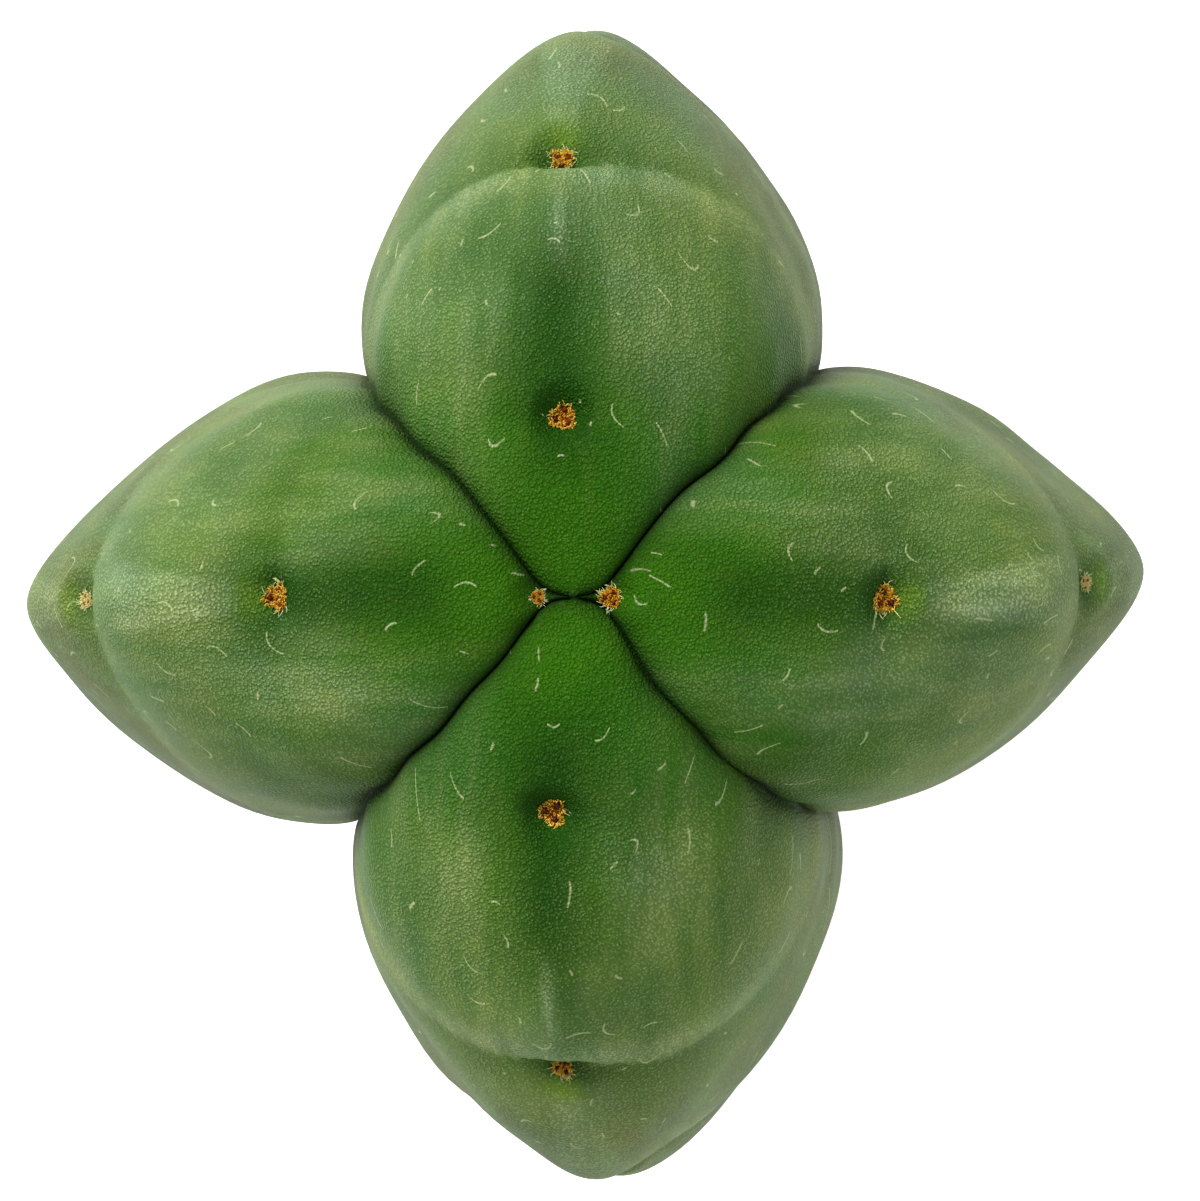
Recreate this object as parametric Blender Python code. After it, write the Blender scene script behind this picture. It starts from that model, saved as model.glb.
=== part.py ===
"""A four-ribbed columnar cactus planted in a plain round clay pot.

Metres, +Z up. The origin is the middle of the pot's foot. +X is the east rib's side and -Y the front.
Run it with: blender --background --python part.py
"""

import math

import bmesh
import bpy
import numpy as np
from mathutils import Vector
from mathutils.bvhtree import BVHTree

MM = 0.001

# Clay pot: a tapered wall with a thicker collar round its rim, and one drain hole in its floor. Its
# rim clears the foot of the widest rib by the room for soil
POT_HEIGHT = 98 * MM
POT_FOOT_RADIUS = 39 * MM
SOIL_ROOM = 9.3 * MM
COLLAR_HEIGHT = 23 * MM
COLLAR_TAPER = 2.0 * MM
COLLAR_STEP = 3.0 * MM
RIM_THICKNESS = 6.5 * MM
FLOOR_THICKNESS = 7 * MM
FOOT_WALL = 5.5 * MM
DRAIN_HOLE_RADIUS = 8 * MM
CLAY_EDGE = 1.6 * MM
POT_SIDES = 48

# Soil: fills the pot to below its rim, heaped slightly round the stem. The socket is cut to the stem's
# plain shape, from above the soil's top
SOIL_BELOW_RIM = 11 * MM
SOIL_HEAP = 2.5 * MM
SOIL_GAP = 0.3 * MM
SOCKET_GAP = 0.6 * MM
SOCKET_ABOVE_SOIL = 25 * MM
SOCKET_ROWS = 11

# Stem: a crown over a column that narrows to the soil, and a rounded root end under it
STEM_HEIGHT = 281 * MM
STEM_BURIED = 34 * MM
CROWN_HEIGHT = 43 * MM
CROWN_SQUARENESS = 2.25
FOOT_SHARE = 0.86
TAPER_STARTS = 120 * MM
SEASON_LENGTH = 96 * MM
SEASON_SHARE = 0.018
STEM_COLUMNS_PER_RIB = 10
STEM_ROW = 3.8 * MM

# Ribs, counted round from the east one: the bearing of the ridge in the crown and below it, how
# strongly its brows are cut, the ridge's radius, how far down it the first areole stands, and how
# far below that the second does
RIBS = [
    {"name": "east", "crown": -1.0, "flank": 3.5, "brow": 0.3,
     "radius": 44.7 * MM, "first": 2.6 * MM, "spacing": 18.6 * MM},
    {"name": "north", "crown": 93.5, "flank": 88.2, "brow": 1.0,
     "radius": 45.3 * MM, "first": 12.4 * MM, "spacing": 20.1 * MM},
    {"name": "west", "crown": 180.0, "flank": 180.6, "brow": 0.4,
     "radius": 43.1 * MM, "first": 2.6 * MM, "spacing": 18.4 * MM},
    {"name": "south", "crown": 264.0, "flank": 274.8, "brow": 1.0,
     "radius": 46.2 * MM, "first": 14.7 * MM, "spacing": 20.6 * MM},
]
# The crease that follows each rib, counted the same way: its bearings, and the share of the rib's
# radius that it's sunk by below the crown
CREASES = [
    {"crown": 44.0, "flank": 43.2, "sunk": 0.37},
    {"crown": 136.0, "flank": 133.0, "sunk": 0.42},
    {"crown": 224.0, "flank": 225.8, "sunk": 0.40},
    {"crown": 312.0, "flank": 322.0, "sunk": 0.375},
]
SLIT_REACH = 3.6 * MM
SLIT_ANGLE = 3.0
CREASE_WIDTH = 8 * MM
CREASE_DEPTH = 1.9 * MM
CREASE_NARROWS = 0.6
CREASE_SUNK_CROWN = 0.20
RIDGE_ROUND_CROWN = 0.45
RIDGE_ROUND_FLANK = 0.06
CROWN_SINK = 2.2 * MM
CROWN_SINK_REACH = 6 * MM
CROWN_RIPE_FROM = 5 * MM
CROWN_RIPE_SHARE = 0.7
TURN_FROM = 8 * MM
SLOPE_STEP = 0.5 * MM

# Segments: each rib swells between its areoles and ends in a brow over the next one. The swelling
# grows in with age, and fades out at the soil. The first segment is furrowed down its middle
AREOLES_PER_RIB = 12
LAST_AREOLE_ABOVE_SOIL = 12 * MM
SEGMENT_SWELL = 1.6 * MM
SEGMENT_REACH = 11 * MM
SEGMENT_GROWS_FROM = 12 * MM
SEGMENT_GROWS_OVER = 40 * MM
SEGMENT_RISING = 1.3
SEGMENT_FALLING = 1.2
BROW_STEEPER = 0.75
BROW_BACK = 16 * MM
BROW_BEND = 17.5 * MM
BROW_REACH = 5 * MM
BROW_ABOVE_PAD = 1.6 * MM
BROW_SETTLES_FROM = 14 * MM
BROW_SETTLES_OVER = 30 * MM
NOTCH_DEPTH = 1.1 * MM
NOTCH_WIDTH = 2.4 * MM
NOTCH_REACH = 2.8 * MM
FURROW_DEPTH = 0.9 * MM
FURROW_WIDTH = 6.8 * MM
FURROW_LENGTH = 13 * MM
FURROW_FROM_TIP = 12.5 * MM

# Areoles: a domed felt pad with three stub spines. The pad's sides are a multiple of the spines, and
# it's laid on the skin from above
PAD_RADIUS = 1.45 * MM
PAD_HEIGHT = 1.0 * MM
PAD_DOME = [(1.0, 0.0), (0.95, 0.45), (0.6, 0.9)]
PAD_SIDES = 9
PAD_GAP = 0.3 * MM
PAD_LAID_FROM = 8 * MM
SPINES = 3
SPINE_LENGTH = 1.3 * MM
SPINE_TIP_SHARE = 0.25
RIDGE_STEP = 1.5 * MM

SOIL_Z = POT_HEIGHT - SOIL_BELOW_RIM
STEM_TOP = SOIL_Z + STEM_HEIGHT
MEAN_RADIUS = sum(rib["radius"] for rib in RIBS) / len(RIBS)
WIDEST_FOOT = FOOT_SHARE * max(rib["radius"] for rib in RIBS)
POT_RIM_RADIUS = WIDEST_FOOT + SOIL_ROOM + RIM_THICKNESS


def smooth(t):
    t = np.clip(t, 0.0, 1.0)
    return t * t * (3 - 2 * t)


def bell(distance, reach):
    return np.exp(-((distance / reach) ** 2))


# ---------------------------------------------------------------- the stem's shape


def make_profile(samples=240):
    """Down a ridge from the growing tip: distance, share of the rib's radius, and depth below the tip."""
    bend = 2 / CROWN_SQUARENESS
    turn = np.linspace(0, math.pi / 2, samples)
    crown_share = np.sin(turn) ** bend
    crown_depth = CROWN_HEIGHT * (1 - np.cos(turn) ** bend)
    depth = np.linspace(CROWN_HEIGHT, STEM_HEIGHT, samples)[1:]
    narrowing = (1 - FOOT_SHARE) * smooth((depth - TAPER_STARTS) / (STEM_HEIGHT - TAPER_STARTS))
    season = SEASON_SHARE * (1 - np.cos(2 * math.pi * (depth - CROWN_HEIGHT) / SEASON_LENGTH)) / 2
    season *= smooth((STEM_HEIGHT - depth) / (SEASON_LENGTH / 2))
    column_share = 1 - narrowing - season
    turn = np.linspace(0, math.pi / 2, samples)[1:]
    root_share = FOOT_SHARE * np.cos(turn) ** 0.5
    root_depth = STEM_HEIGHT + STEM_BURIED * np.sin(turn)
    share = np.concatenate([crown_share, column_share, root_share])
    depth = np.concatenate([crown_depth, depth, root_depth])
    steps = np.hypot(MEAN_RADIUS * np.diff(share), np.diff(depth))
    return np.concatenate([[0], np.cumsum(steps)]), share, depth


PROFILE_DOWN, PROFILE_SHARE, PROFILE_DEPTH = make_profile()
RIDGE_TO_SOIL = float(np.interp(STEM_HEIGHT, PROFILE_DEPTH, PROFILE_DOWN))
RIDGE_TO_ROOT = float(PROFILE_DOWN[-1])
CROWN_REACH = float(np.interp(CROWN_HEIGHT, PROFILE_DEPTH, PROFILE_DOWN))


def areole_places(rib):
    """Distances down the ridge of a rib's areoles. They stand further apart the lower they are."""
    steps = np.arange(AREOLES_PER_RIB)
    even = rib["first"] + rib["spacing"] * steps
    spare = RIDGE_TO_SOIL - LAST_AREOLE_ABOVE_SOIL - even[-1]
    return even + spare * (steps / steps[-1]) ** 2


def swept(bearings, down):
    """A ridge's or crease's bearing in radians, which turns from the crown's to the flank's."""
    turn = smooth((down - TURN_FROM) / (CROWN_REACH - TURN_FROM))
    return np.radians(bearings["crown"] + (bearings["flank"] - bearings["crown"]) * turn)


def crease_bearing(index, down, distance):
    """A crease's bearing. Near the growing tip it bends to the slit that runs east and west through it."""
    crease = CREASES[index]
    slit = math.radians(SLIT_ANGLE)
    slit = (slit, math.pi - slit, math.pi + slit, 2 * math.pi - slit)[index]
    bent = np.exp(-((distance / SLIT_REACH) ** 1.6))
    return swept(crease, down) * (1 - bent) + slit * bent


def stem_points(rib_index, across, down, swollen=True):
    """Points on one rib. across runs from -1 to 1 between its creases, and down from the growing tip."""
    rib = RIBS[rib_index]
    share = np.interp(down, PROFILE_DOWN, PROFILE_SHARE)
    depth = np.interp(down, PROFILE_DOWN, PROFILE_DEPTH)
    lowered = smooth((down - CROWN_RIPE_FROM) / (CROWN_RIPE_SHARE * CROWN_REACH))
    sunk_after, sunk_before = CREASES[rib_index]["sunk"], CREASES[rib_index - 1]["sunk"]
    sunk_after = CREASE_SUNK_CROWN + (sunk_after - CREASE_SUNK_CROWN) * lowered
    sunk_before = CREASE_SUNK_CROWN + (sunk_before - CREASE_SUNK_CROWN) * lowered
    roundness = RIDGE_ROUND_CROWN + (RIDGE_ROUND_FLANK - RIDGE_ROUND_CROWN) * lowered
    fall = (np.hypot(across, roundness) - roundness) / (np.hypot(1, roundness) - roundness)
    radius = rib["radius"] + (MEAN_RADIUS - rib["radius"]) * across**2
    full = radius * (1 - np.where(across > 0, sunk_after, sunk_before) * fall)
    distance = share * full

    ridge = swept(rib, down)
    after = crease_bearing(rib_index, down, share * MEAN_RADIUS * (1 - sunk_after))
    before = crease_bearing(rib_index - 1, down, share * MEAN_RADIUS * (1 - sunk_before))
    before = before - 2 * math.pi * (rib_index == 0)
    bearing = ridge + np.where(across > 0, across * (after - ridge), -across * (before - ridge))

    above, below = down - SLOPE_STEP, down + SLOPE_STEP
    rise = np.interp(below, PROFILE_DOWN, PROFILE_SHARE) - np.interp(above, PROFILE_DOWN, PROFILE_SHARE)
    sink = np.interp(below, PROFILE_DOWN, PROFILE_DEPTH) - np.interp(above, PROFILE_DOWN, PROFILE_DEPTH)
    length = np.hypot(rise * full, sink)
    out, up = sink / length, rise * full / length

    if swollen:
        half_width = distance * np.where(across > 0, after - ridge, ridge - before)
        off_ridge = distance * np.abs(bearing - ridge)
        lift = relief(rib, down, distance, half_width, off_ridge)
        distance = distance + lift * out
        depth = depth - lift * up
    return np.stack([distance * np.cos(bearing), distance * np.sin(bearing), STEM_TOP - depth], -1)


def relief(rib, down, distance, half_width, off_ridge):
    """How far the skin stands out from the plain ribbed column."""
    width = np.minimum(CREASE_WIDTH, half_width)
    edge = 1 - np.clip((half_width - off_ridge) / np.maximum(width, MM / 10), 0, 1)
    lift = -CREASE_DEPTH * (width / CREASE_WIDTH) ** CREASE_NARROWS * (1 - np.sqrt(1 - edge**2))
    lift = lift - CROWN_SINK * bell(distance, CROWN_SINK_REACH)
    in_furrow = bell(down - FURROW_FROM_TIP, FURROW_LENGTH / 2) * bell(off_ridge, FURROW_WIDTH / 2)
    lift = lift - FURROW_DEPTH * in_furrow

    places = areole_places(rib)
    stops = np.append(places, 2 * places[-1] - places[-2])
    age = smooth((down - BROW_SETTLES_FROM) / BROW_SETTLES_OVER)
    level = down - BROW_BACK * (1 - bell(off_ridge, BROW_BEND)) + BROW_ABOVE_PAD * age
    index = np.clip(np.searchsorted(stops, level) - 1, 0, len(stops) - 2)
    start, end = stops[index], stops[index + 1]
    phase = np.clip((level - start) / (end - start), 0, 1)
    grown = smooth((end - SEGMENT_GROWS_FROM) / SEGMENT_GROWS_OVER)
    grown = grown * smooth((RIDGE_TO_SOIL - down) / LAST_AREOLE_ABOVE_SOIL)
    cut = rib["brow"] * grown
    rising = SEGMENT_RISING
    falling = SEGMENT_FALLING - BROW_STEEPER * cut * bell(off_ridge, BROW_REACH)
    peak = rising / (rising + falling)
    swell = (phase / peak) ** rising * ((1 - phase) / (1 - peak)) ** falling
    lift = lift + SEGMENT_SWELL * grown * swell * bell(off_ridge, SEGMENT_REACH * math.sqrt(rib["brow"]))
    near = np.abs(level[..., None] - places).min(-1)
    return lift - NOTCH_DEPTH * cut * bell(near, NOTCH_WIDTH / 2) * bell(off_ridge, NOTCH_REACH)


# ---------------------------------------------------------------- helpers


def material(name, color, roughness):
    made = bpy.data.materials.new(name)
    made.use_nodes = True
    shader = made.node_tree.nodes["Principled BSDF"]
    shader.inputs["Base Color"].default_value = (*color, 1)
    shader.inputs["Roughness"].default_value = roughness
    shader.inputs["Metallic"].default_value = 0
    made.diffuse_color = (*color, 1)
    return made


def add_object(name, bm, surface, sharp_degrees=None):
    """Links a bmesh as a named object with its material, shaded smooth except at its sharp edges."""
    bmesh.ops.recalc_face_normals(bm, faces=bm.faces)
    mesh = bpy.data.meshes.new(name)
    bm.to_mesh(mesh)
    bm.free()
    mesh.shade_smooth()
    if sharp_degrees:
        mesh.set_sharp_from_angle(angle=math.radians(sharp_degrees))
    obj = bpy.data.objects.new(name, mesh)
    bpy.context.scene.collection.objects.link(obj)
    obj.data.materials.append(surface)
    return obj


def skin_grid(rings, first=None, last=None):
    """A bmesh skinned over rings of points, closed to a point at either end if one is given."""
    bm = bmesh.new()
    loops = [[bm.verts.new(point) for point in ring] for ring in rings]
    for upper, lower in zip(loops, loops[1:]):
        for i in range(len(upper)):
            j = (i + 1) % len(upper)
            bm.faces.new((upper[i], upper[j], lower[j], lower[i]))
    for tip, loop in ((first, loops[0]), (last, loops[-1])):
        if tip is not None:
            point = bm.verts.new(tip)
            for i in range(len(loop)):
                bm.faces.new((point, loop[i], loop[(i + 1) % len(loop)]))
    return bm


def rounded(corners, radius, steps=2):
    """The closed outline through corners, each (distance, height, turned?), with the turned ones rounded."""
    outline = []
    for i, (x, z, turned) in enumerate(corners):
        here = Vector((x, z))
        if not turned:
            outline.append(here)
            continue
        back = Vector(corners[i - 1][:2]) - here
        ahead = Vector(corners[(i + 1) % len(corners)][:2]) - here
        half = back.angle(ahead) / 2
        reach = min(radius / math.tan(half), 0.45 * back.length, 0.45 * ahead.length)
        start, end = here + back.normalized() * reach, here + ahead.normalized() * reach
        for step in range(steps + 1):
            t = step / steps
            outline.append(start * (1 - t) ** 2 + here * 2 * t * (1 - t) + end * t**2)
    return outline


def turned(outline, sides=POT_SIDES):
    """A bmesh made by turning a closed outline of (distance, height) points once round the Z axis."""
    bm = bmesh.new()
    ring = [bm.verts.new((point.x, 0, point.y)) for point in outline]
    edges = [bm.edges.new((ring[i - 1], ring[i])) for i in range(len(ring))]
    bmesh.ops.spin(
        bm,
        geom=ring + edges,
        cent=(0, 0, 0),
        axis=(0, 0, 1),
        angle=2 * math.pi,
        steps=sides,
        use_merge=True,
    )
    return bm


# ---------------------------------------------------------------- pot and soil


def inner_radius(height):
    """The pot's inside radius at a height, which is a straight taper from its floor to its rim."""
    low = POT_FOOT_RADIUS - FOOT_WALL
    high = POT_RIM_RADIUS - RIM_THICKNESS
    return low + (high - low) * (height - FLOOR_THICKNESS) / (POT_HEIGHT - FLOOR_THICKNESS)


def make_pot(clay):
    collar_z = POT_HEIGHT - COLLAR_HEIGHT
    collar_radius = POT_RIM_RADIUS - COLLAR_TAPER
    corners = [
        (DRAIN_HOLE_RADIUS, 0, True),
        (POT_FOOT_RADIUS, 0, True),
        (collar_radius - COLLAR_STEP, collar_z, False),
        (collar_radius, collar_z, True),
        (POT_RIM_RADIUS, POT_HEIGHT, True),
        (inner_radius(POT_HEIGHT), POT_HEIGHT, True),
        (inner_radius(FLOOR_THICKNESS), FLOOR_THICKNESS, False),
        (DRAIN_HOLE_RADIUS, FLOOR_THICKNESS, True),
    ]
    return add_object("pot", turned(rounded(corners, CLAY_EDGE)), clay, 40)


def make_soil(earth):
    """The soil, cut out round the stem's buried end with a gap."""
    floor_z = FLOOR_THICKNESS + SOIL_GAP
    corners = [
        (inner_radius(floor_z) - SOIL_GAP, floor_z, False),
        (inner_radius(SOIL_Z) - SOIL_GAP, SOIL_Z, False),
        (0.7 * inner_radius(SOIL_Z), SOIL_Z + SOIL_HEAP / 2, False),
        (0.35 * inner_radius(SOIL_Z), SOIL_Z + SOIL_HEAP, False),
    ]
    rings = []
    for x, z, _ in corners:
        turn = [2 * math.pi * i / POT_SIDES for i in range(POT_SIDES)]
        rings.append([(x * math.cos(a), x * math.sin(a), z) for a in turn])
    bm = skin_grid(rings, (0, 0, floor_z), (0, 0, SOIL_Z + SOIL_HEAP))
    soil = add_object("soil", bm, earth, 40)
    cut = soil.modifiers.new("stem_socket", "BOOLEAN")
    cut.operation = "DIFFERENCE"
    cut.object = make_stem_socket(earth)
    return soil


def make_stem_socket(earth):
    """The cutter for the stem's place in the soil: the plain ribbed shape, a little larger all round."""
    top = RIDGE_TO_SOIL - SOCKET_ABOVE_SOIL
    rows = np.linspace(top, RIDGE_TO_ROOT, SOCKET_ROWS + 1)[:-1]
    rings = [stem_ring(down, swollen=False) for down in rows]
    at_crease = FOOT_SHARE * MEAN_RADIUS * (1 - max(crease["sunk"] for crease in CREASES))
    larger = 1 + SOCKET_GAP / at_crease
    rings = [ring * (larger, larger, 1) - (0, 0, SOCKET_GAP) for ring in rings]
    above = (0, 0, float(rings[0][0][2]))
    below = (0, 0, STEM_TOP - float(PROFILE_DEPTH[-1]) - SOCKET_GAP)
    cutter = add_object("stem_socket_cutter", skin_grid(rings, above, below), earth)
    cutter.hide_render = True
    cutter.display_type = "WIRE"
    return cutter


# ---------------------------------------------------------------- the plant


def columns_across(count):
    """Places across a rib from crease to ridge to crease, closer together at the ridge and creases."""
    t = np.linspace(-1, 1, count + 1)[:-1]
    return t - 0.5 * np.sin(2 * math.pi * t) / (2 * math.pi)


def stem_ring(down, swollen=True):
    """One ring of points round the stem at a distance down its ribs."""
    across = columns_across(STEM_COLUMNS_PER_RIB)
    level = np.full_like(across, down)
    return np.concatenate([stem_points(i, across, level, swollen) for i in range(len(RIBS))])


def make_stem(skin):
    rows = round(RIDGE_TO_ROOT / STEM_ROW)
    places = np.linspace(0, RIDGE_TO_ROOT, rows + 1)[1:-1]
    rings = [stem_ring(down) for down in places]
    tip = stem_points(0, np.zeros(1), np.full(1, 0.05 * MM))[0] * (0, 0, 1)
    root = (0, 0, STEM_TOP - float(PROFILE_DEPTH[-1]))
    return add_object("stem", skin_grid(rings, tip, root), skin)


def ridge_frame(rib_index, down):
    """A point on a ridge, with the way out of the skin and the way down the rib there."""
    levels = np.array([down - RIDGE_STEP, down, down + RIDGE_STEP])
    above, here, below = stem_points(rib_index, np.zeros(3), levels, swollen=False)
    along = Vector(below - above).normalized()
    bearing = float(swept(RIBS[rib_index], down))
    side = Vector((-math.sin(bearing), math.cos(bearing), 0))
    return Vector(here), along.cross(side).normalized(), along


def make_areole(name, surface, rib_index, down, felt):
    """A felt pad on the skin with three stub spines. Its underside follows the skin at a small gap."""
    middle, out, along = ridge_frame(rib_index, down)
    side = out.cross(along).normalized()

    def on_skin(radius, angle):
        above = middle + (along * math.cos(angle) + side * math.sin(angle)) * radius + out * PAD_LAID_FROM
        hit = surface.ray_cast(above, -out)[0]
        return hit + out * PAD_GAP

    def ring(radius, height):
        turn = [2 * math.pi * i / PAD_SIDES for i in range(PAD_SIDES)]
        return [on_skin(radius, angle) + out * height for angle in turn]

    rings = [ring(PAD_RADIUS / 2, 0)] + [ring(PAD_RADIUS * x, PAD_HEIGHT * z) for x, z in PAD_DOME]
    bm = skin_grid(rings, on_skin(0, 0), on_skin(0, 0) + out * PAD_HEIGHT)
    bm.faces.ensure_lookup_table()
    shoulder = 2 * PAD_SIDES
    spines = [bm.faces[shoulder + i] for i in range(0, PAD_SIDES, PAD_SIDES // SPINES)]
    bmesh.ops.recalc_face_normals(bm, faces=bm.faces)
    for face in spines:
        add_spine(bm, face)
    return add_object(name, bm, felt)


def add_spine(bm, face):
    """Draws one short pointed spine out of a pad's face."""
    out = face.normal.copy()
    drawn = bmesh.ops.extrude_discrete_faces(bm, faces=[face])["faces"][0]
    tip = drawn.calc_center_median() + out * SPINE_LENGTH
    for vert in drawn.verts:
        vert.co = tip + (vert.co + out * SPINE_LENGTH - tip) * SPINE_TIP_SHARE


def make_areoles(stem, felt):
    """The areoles of every rib, numbered down from the growing tip."""
    graph = bpy.context.evaluated_depsgraph_get()
    surface = BVHTree.FromObject(stem, graph)
    for rib_index, rib in enumerate(RIBS):
        for number, down in enumerate(areole_places(rib), 1):
            name = f"areole_{rib['name']}_{number:02d}"
            make_areole(name, surface, rib_index, down, felt)


def build():
    for obj in list(bpy.data.objects):
        bpy.data.objects.remove(obj)
    clay = material("terracotta", (0.48, 0.19, 0.09), 0.85)
    earth = material("potting_soil", (0.06, 0.04, 0.025), 0.95)
    skin = material("cactus_skin", (0.10, 0.21, 0.05), 0.5)
    felt = material("areole_felt", (0.55, 0.30, 0.08), 0.9)
    make_pot(clay)
    make_soil(earth)
    stem = make_stem(skin)
    bpy.context.view_layer.update()
    make_areoles(stem, felt)


build()
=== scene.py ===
"""The finish of a four-ribbed columnar cactus in a clay pot. It's built up as it was potted: pot, potting
mix, stem, areoles, and then the floor, light and camera of a plain studio."""

import math

import bpy
import numpy as np
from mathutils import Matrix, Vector
from mathutils.bvhtree import BVHTree


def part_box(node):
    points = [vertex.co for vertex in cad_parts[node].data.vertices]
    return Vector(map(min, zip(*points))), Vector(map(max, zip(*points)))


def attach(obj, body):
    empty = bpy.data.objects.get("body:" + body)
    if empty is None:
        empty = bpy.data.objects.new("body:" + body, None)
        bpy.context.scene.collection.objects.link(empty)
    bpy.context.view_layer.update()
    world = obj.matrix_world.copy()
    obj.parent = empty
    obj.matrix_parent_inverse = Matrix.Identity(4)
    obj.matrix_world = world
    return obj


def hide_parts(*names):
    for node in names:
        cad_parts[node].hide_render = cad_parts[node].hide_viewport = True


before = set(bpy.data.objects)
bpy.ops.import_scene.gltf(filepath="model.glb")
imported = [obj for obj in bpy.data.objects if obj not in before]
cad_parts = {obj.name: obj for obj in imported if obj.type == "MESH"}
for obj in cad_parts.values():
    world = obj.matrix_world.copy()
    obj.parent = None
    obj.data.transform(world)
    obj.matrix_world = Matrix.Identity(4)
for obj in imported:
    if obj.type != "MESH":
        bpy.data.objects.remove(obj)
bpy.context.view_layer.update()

MM = 0.001

# ---------------------------------------------------------------- pot
# A flower pot of unglazed earthenware, thrown or pressed in one piece with a collar round its rim and
# one drain hole. Its wall carries faint turning rings and a pale bloom of lime from years of watering.

FOOT_RADIUS = 39 * MM
COLLAR_HEIGHT = 23 * MM
COLLAR_TAPER = 2.0 * MM
COLLAR_STEP = 3.0 * MM
RIM_THICKNESS = 6.5 * MM
FLOOR_THICKNESS = 7 * MM
FOOT_WALL = 5.5 * MM
DRAIN_HOLE_RADIUS = 8 * MM
CLAY_EDGE = 1.8 * MM
POT_SIDES = 160
WALL_BEGINS = 5 * MM
WALL_ENDS = 3 * MM
WALL_INSET = 0.15 * MM
TURNING_RING = 2.4 * MM
TURNING_DEPTH = 0.08 * MM
FINGER_RIDGE = 0.9 * MM
OUT_OF_ROUND = 0.12 * MM
OUT_OF_ROUND_TWIST = 18 * MM
FIVE_SIDED = 0.07 * MM
CLAY_COLOURS = {
    "dark": "#9c5233", "light": "#c77f58", "grit": "#6d3a27", "damp": "#7b4630", "lime": "#ddc6b0",
}
CLOUD_SIZE = 22 * MM
MOTTLE_SIZE = 5 * MM
SAND_SIZE = 0.35 * MM
LIME_STREAK = 16 * MM
PINHOLES_APART = 2.6 * MM
DAMP_RISES_TO = 30 * MM
DAMP_FULL_AT = 2 * MM

pot_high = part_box("pot")[1]
RIM_RADIUS, POT_HEIGHT = pot_high.x, pot_high.z


def linear(hex_colour):
    """An sRGB colour such as "#4a7a30" as linear red, green, blue and alpha."""
    channels = [int(hex_colour[i : i + 2], 16) / 255 for i in (1, 3, 5)]
    return (*[c / 12.92 if c <= 0.04045 else ((c + 0.055) / 1.055) ** 2.4 for c in channels], 1)


def add(tree, kind, inputs, **settings):
    """Adds a shader node with its settings. Each input is a value, or an output to link."""
    node = tree.nodes.new("ShaderNode" + kind)
    for name, value in settings.items():
        setattr(node, name, value)
    for name, value in inputs.items():
        if isinstance(value, bpy.types.NodeSocket):
            tree.links.new(value, node.inputs[name])
        else:
            node.inputs[name].default_value = value
    return node


def mixed(tree, share, first, second, blend="MIX"):
    """Two colours, given as hex or as outputs, mixed by a share, or multiplied if blend says so."""
    first, second = (linear(c) if isinstance(c, str) else c for c in (first, second))
    sockets = {0: share, 6: first, 7: second}
    return add(tree, "Mix", sockets, data_type="RGBA", blend_type=blend).outputs[2]


def ranged(tree, value, start, end, low=0.0, high=1.0):
    """A value's way from start to end, turned into a way from low to high and held there."""
    sockets = {"Value": value, "From Min": start, "From Max": end, "To Min": low, "To Max": high}
    return add(tree, "MapRange", sockets).outputs[0]


def maths(tree, operation, *values, clamped=False):
    return add(tree, "Math", dict(enumerate(values)), operation=operation, use_clamp=clamped).outputs[0]


def times(tree, first, second, **clamped):
    return maths(tree, "MULTIPLY", first, second, **clamped)


def noise(tree, place, size, detail=2.0, roughness=0.5):
    """Cloudy noise from 0 to 1, with features of about a size."""
    sockets = {"Vector": place, "Scale": 1 / size, "Detail": detail, "Roughness": roughness}
    return add(tree, "TexNoise", sockets).outputs["Fac"]


def painted_vector(tree, name):
    """A vector that was painted on the mesh, whole and as its three parts."""
    whole = add(tree, "Attribute", {}, attribute_name=name).outputs["Vector"]
    return whole, *add(tree, "SeparateXYZ", {"Vector": whole}).outputs


def blank_material(name):
    """A material with its node tree, its one Principled shader, and the places on its object."""
    material = bpy.data.materials.new(name)
    material.use_nodes = True
    tree = material.node_tree
    return material, tree, tree.nodes["Principled BSDF"], add(tree, "TexCoord", {}).outputs["Object"]


def dress(tree, shader, constants, colour, height=None, strength=1.0, distance=MM):
    """Gives the shader its constants, its colour and any relief, whose height is a share of the distance."""
    for name, value in constants.items():
        shader.inputs[name].default_value = value
    tree.links.new(colour, shader.inputs["Base Color"])
    if height:
        bump = add(tree, "Bump", {"Height": height, "Distance": distance, "Strength": strength})
        tree.links.new(bump.outputs[0], shader.inputs["Normal"])


def skin_over(rings, first=None, last=None):
    """Points and faces of a skin over rings of as many points each, closed to a tip where one is given."""
    points = np.concatenate(rings)
    count = len(rings[0])
    faces = []
    for row in range(len(rings) - 1):
        for i in range(count):
            j = (i + 1) % count
            upper, lower = row * count, (row + 1) * count
            faces.append((upper + i, lower + i, lower + j, upper + j))
    if first is not None:
        faces += [(len(points), i, (i + 1) % count) for i in range(count)]
        points = np.vstack([points, first])
    if last is not None:
        start = (len(rings) - 1) * count
        faces += [(start + (i + 1) % count, start + i, len(points)) for i in range(count)]
        points = np.vstack([points, last])
    return points, faces


def placed(name, data):
    """An object in the scene that holds a mesh, a light or a camera."""
    thing = bpy.data.objects.new(name, data)
    bpy.context.scene.collection.objects.link(thing)
    return thing


def add_piece(name, points, faces, material, node=None):
    """A smooth piece that rides with the plant, is finished with its material, and may replace a CAD node.
    """
    mesh = bpy.data.meshes.new(name)
    mesh.from_pydata([tuple(map(float, p)) for p in points], [], faces)
    mesh.shade_smooth()
    mesh.materials.append(material)
    piece = placed(name, mesh)
    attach(piece, "root")
    if node:
        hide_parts(node)
    return piece


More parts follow.
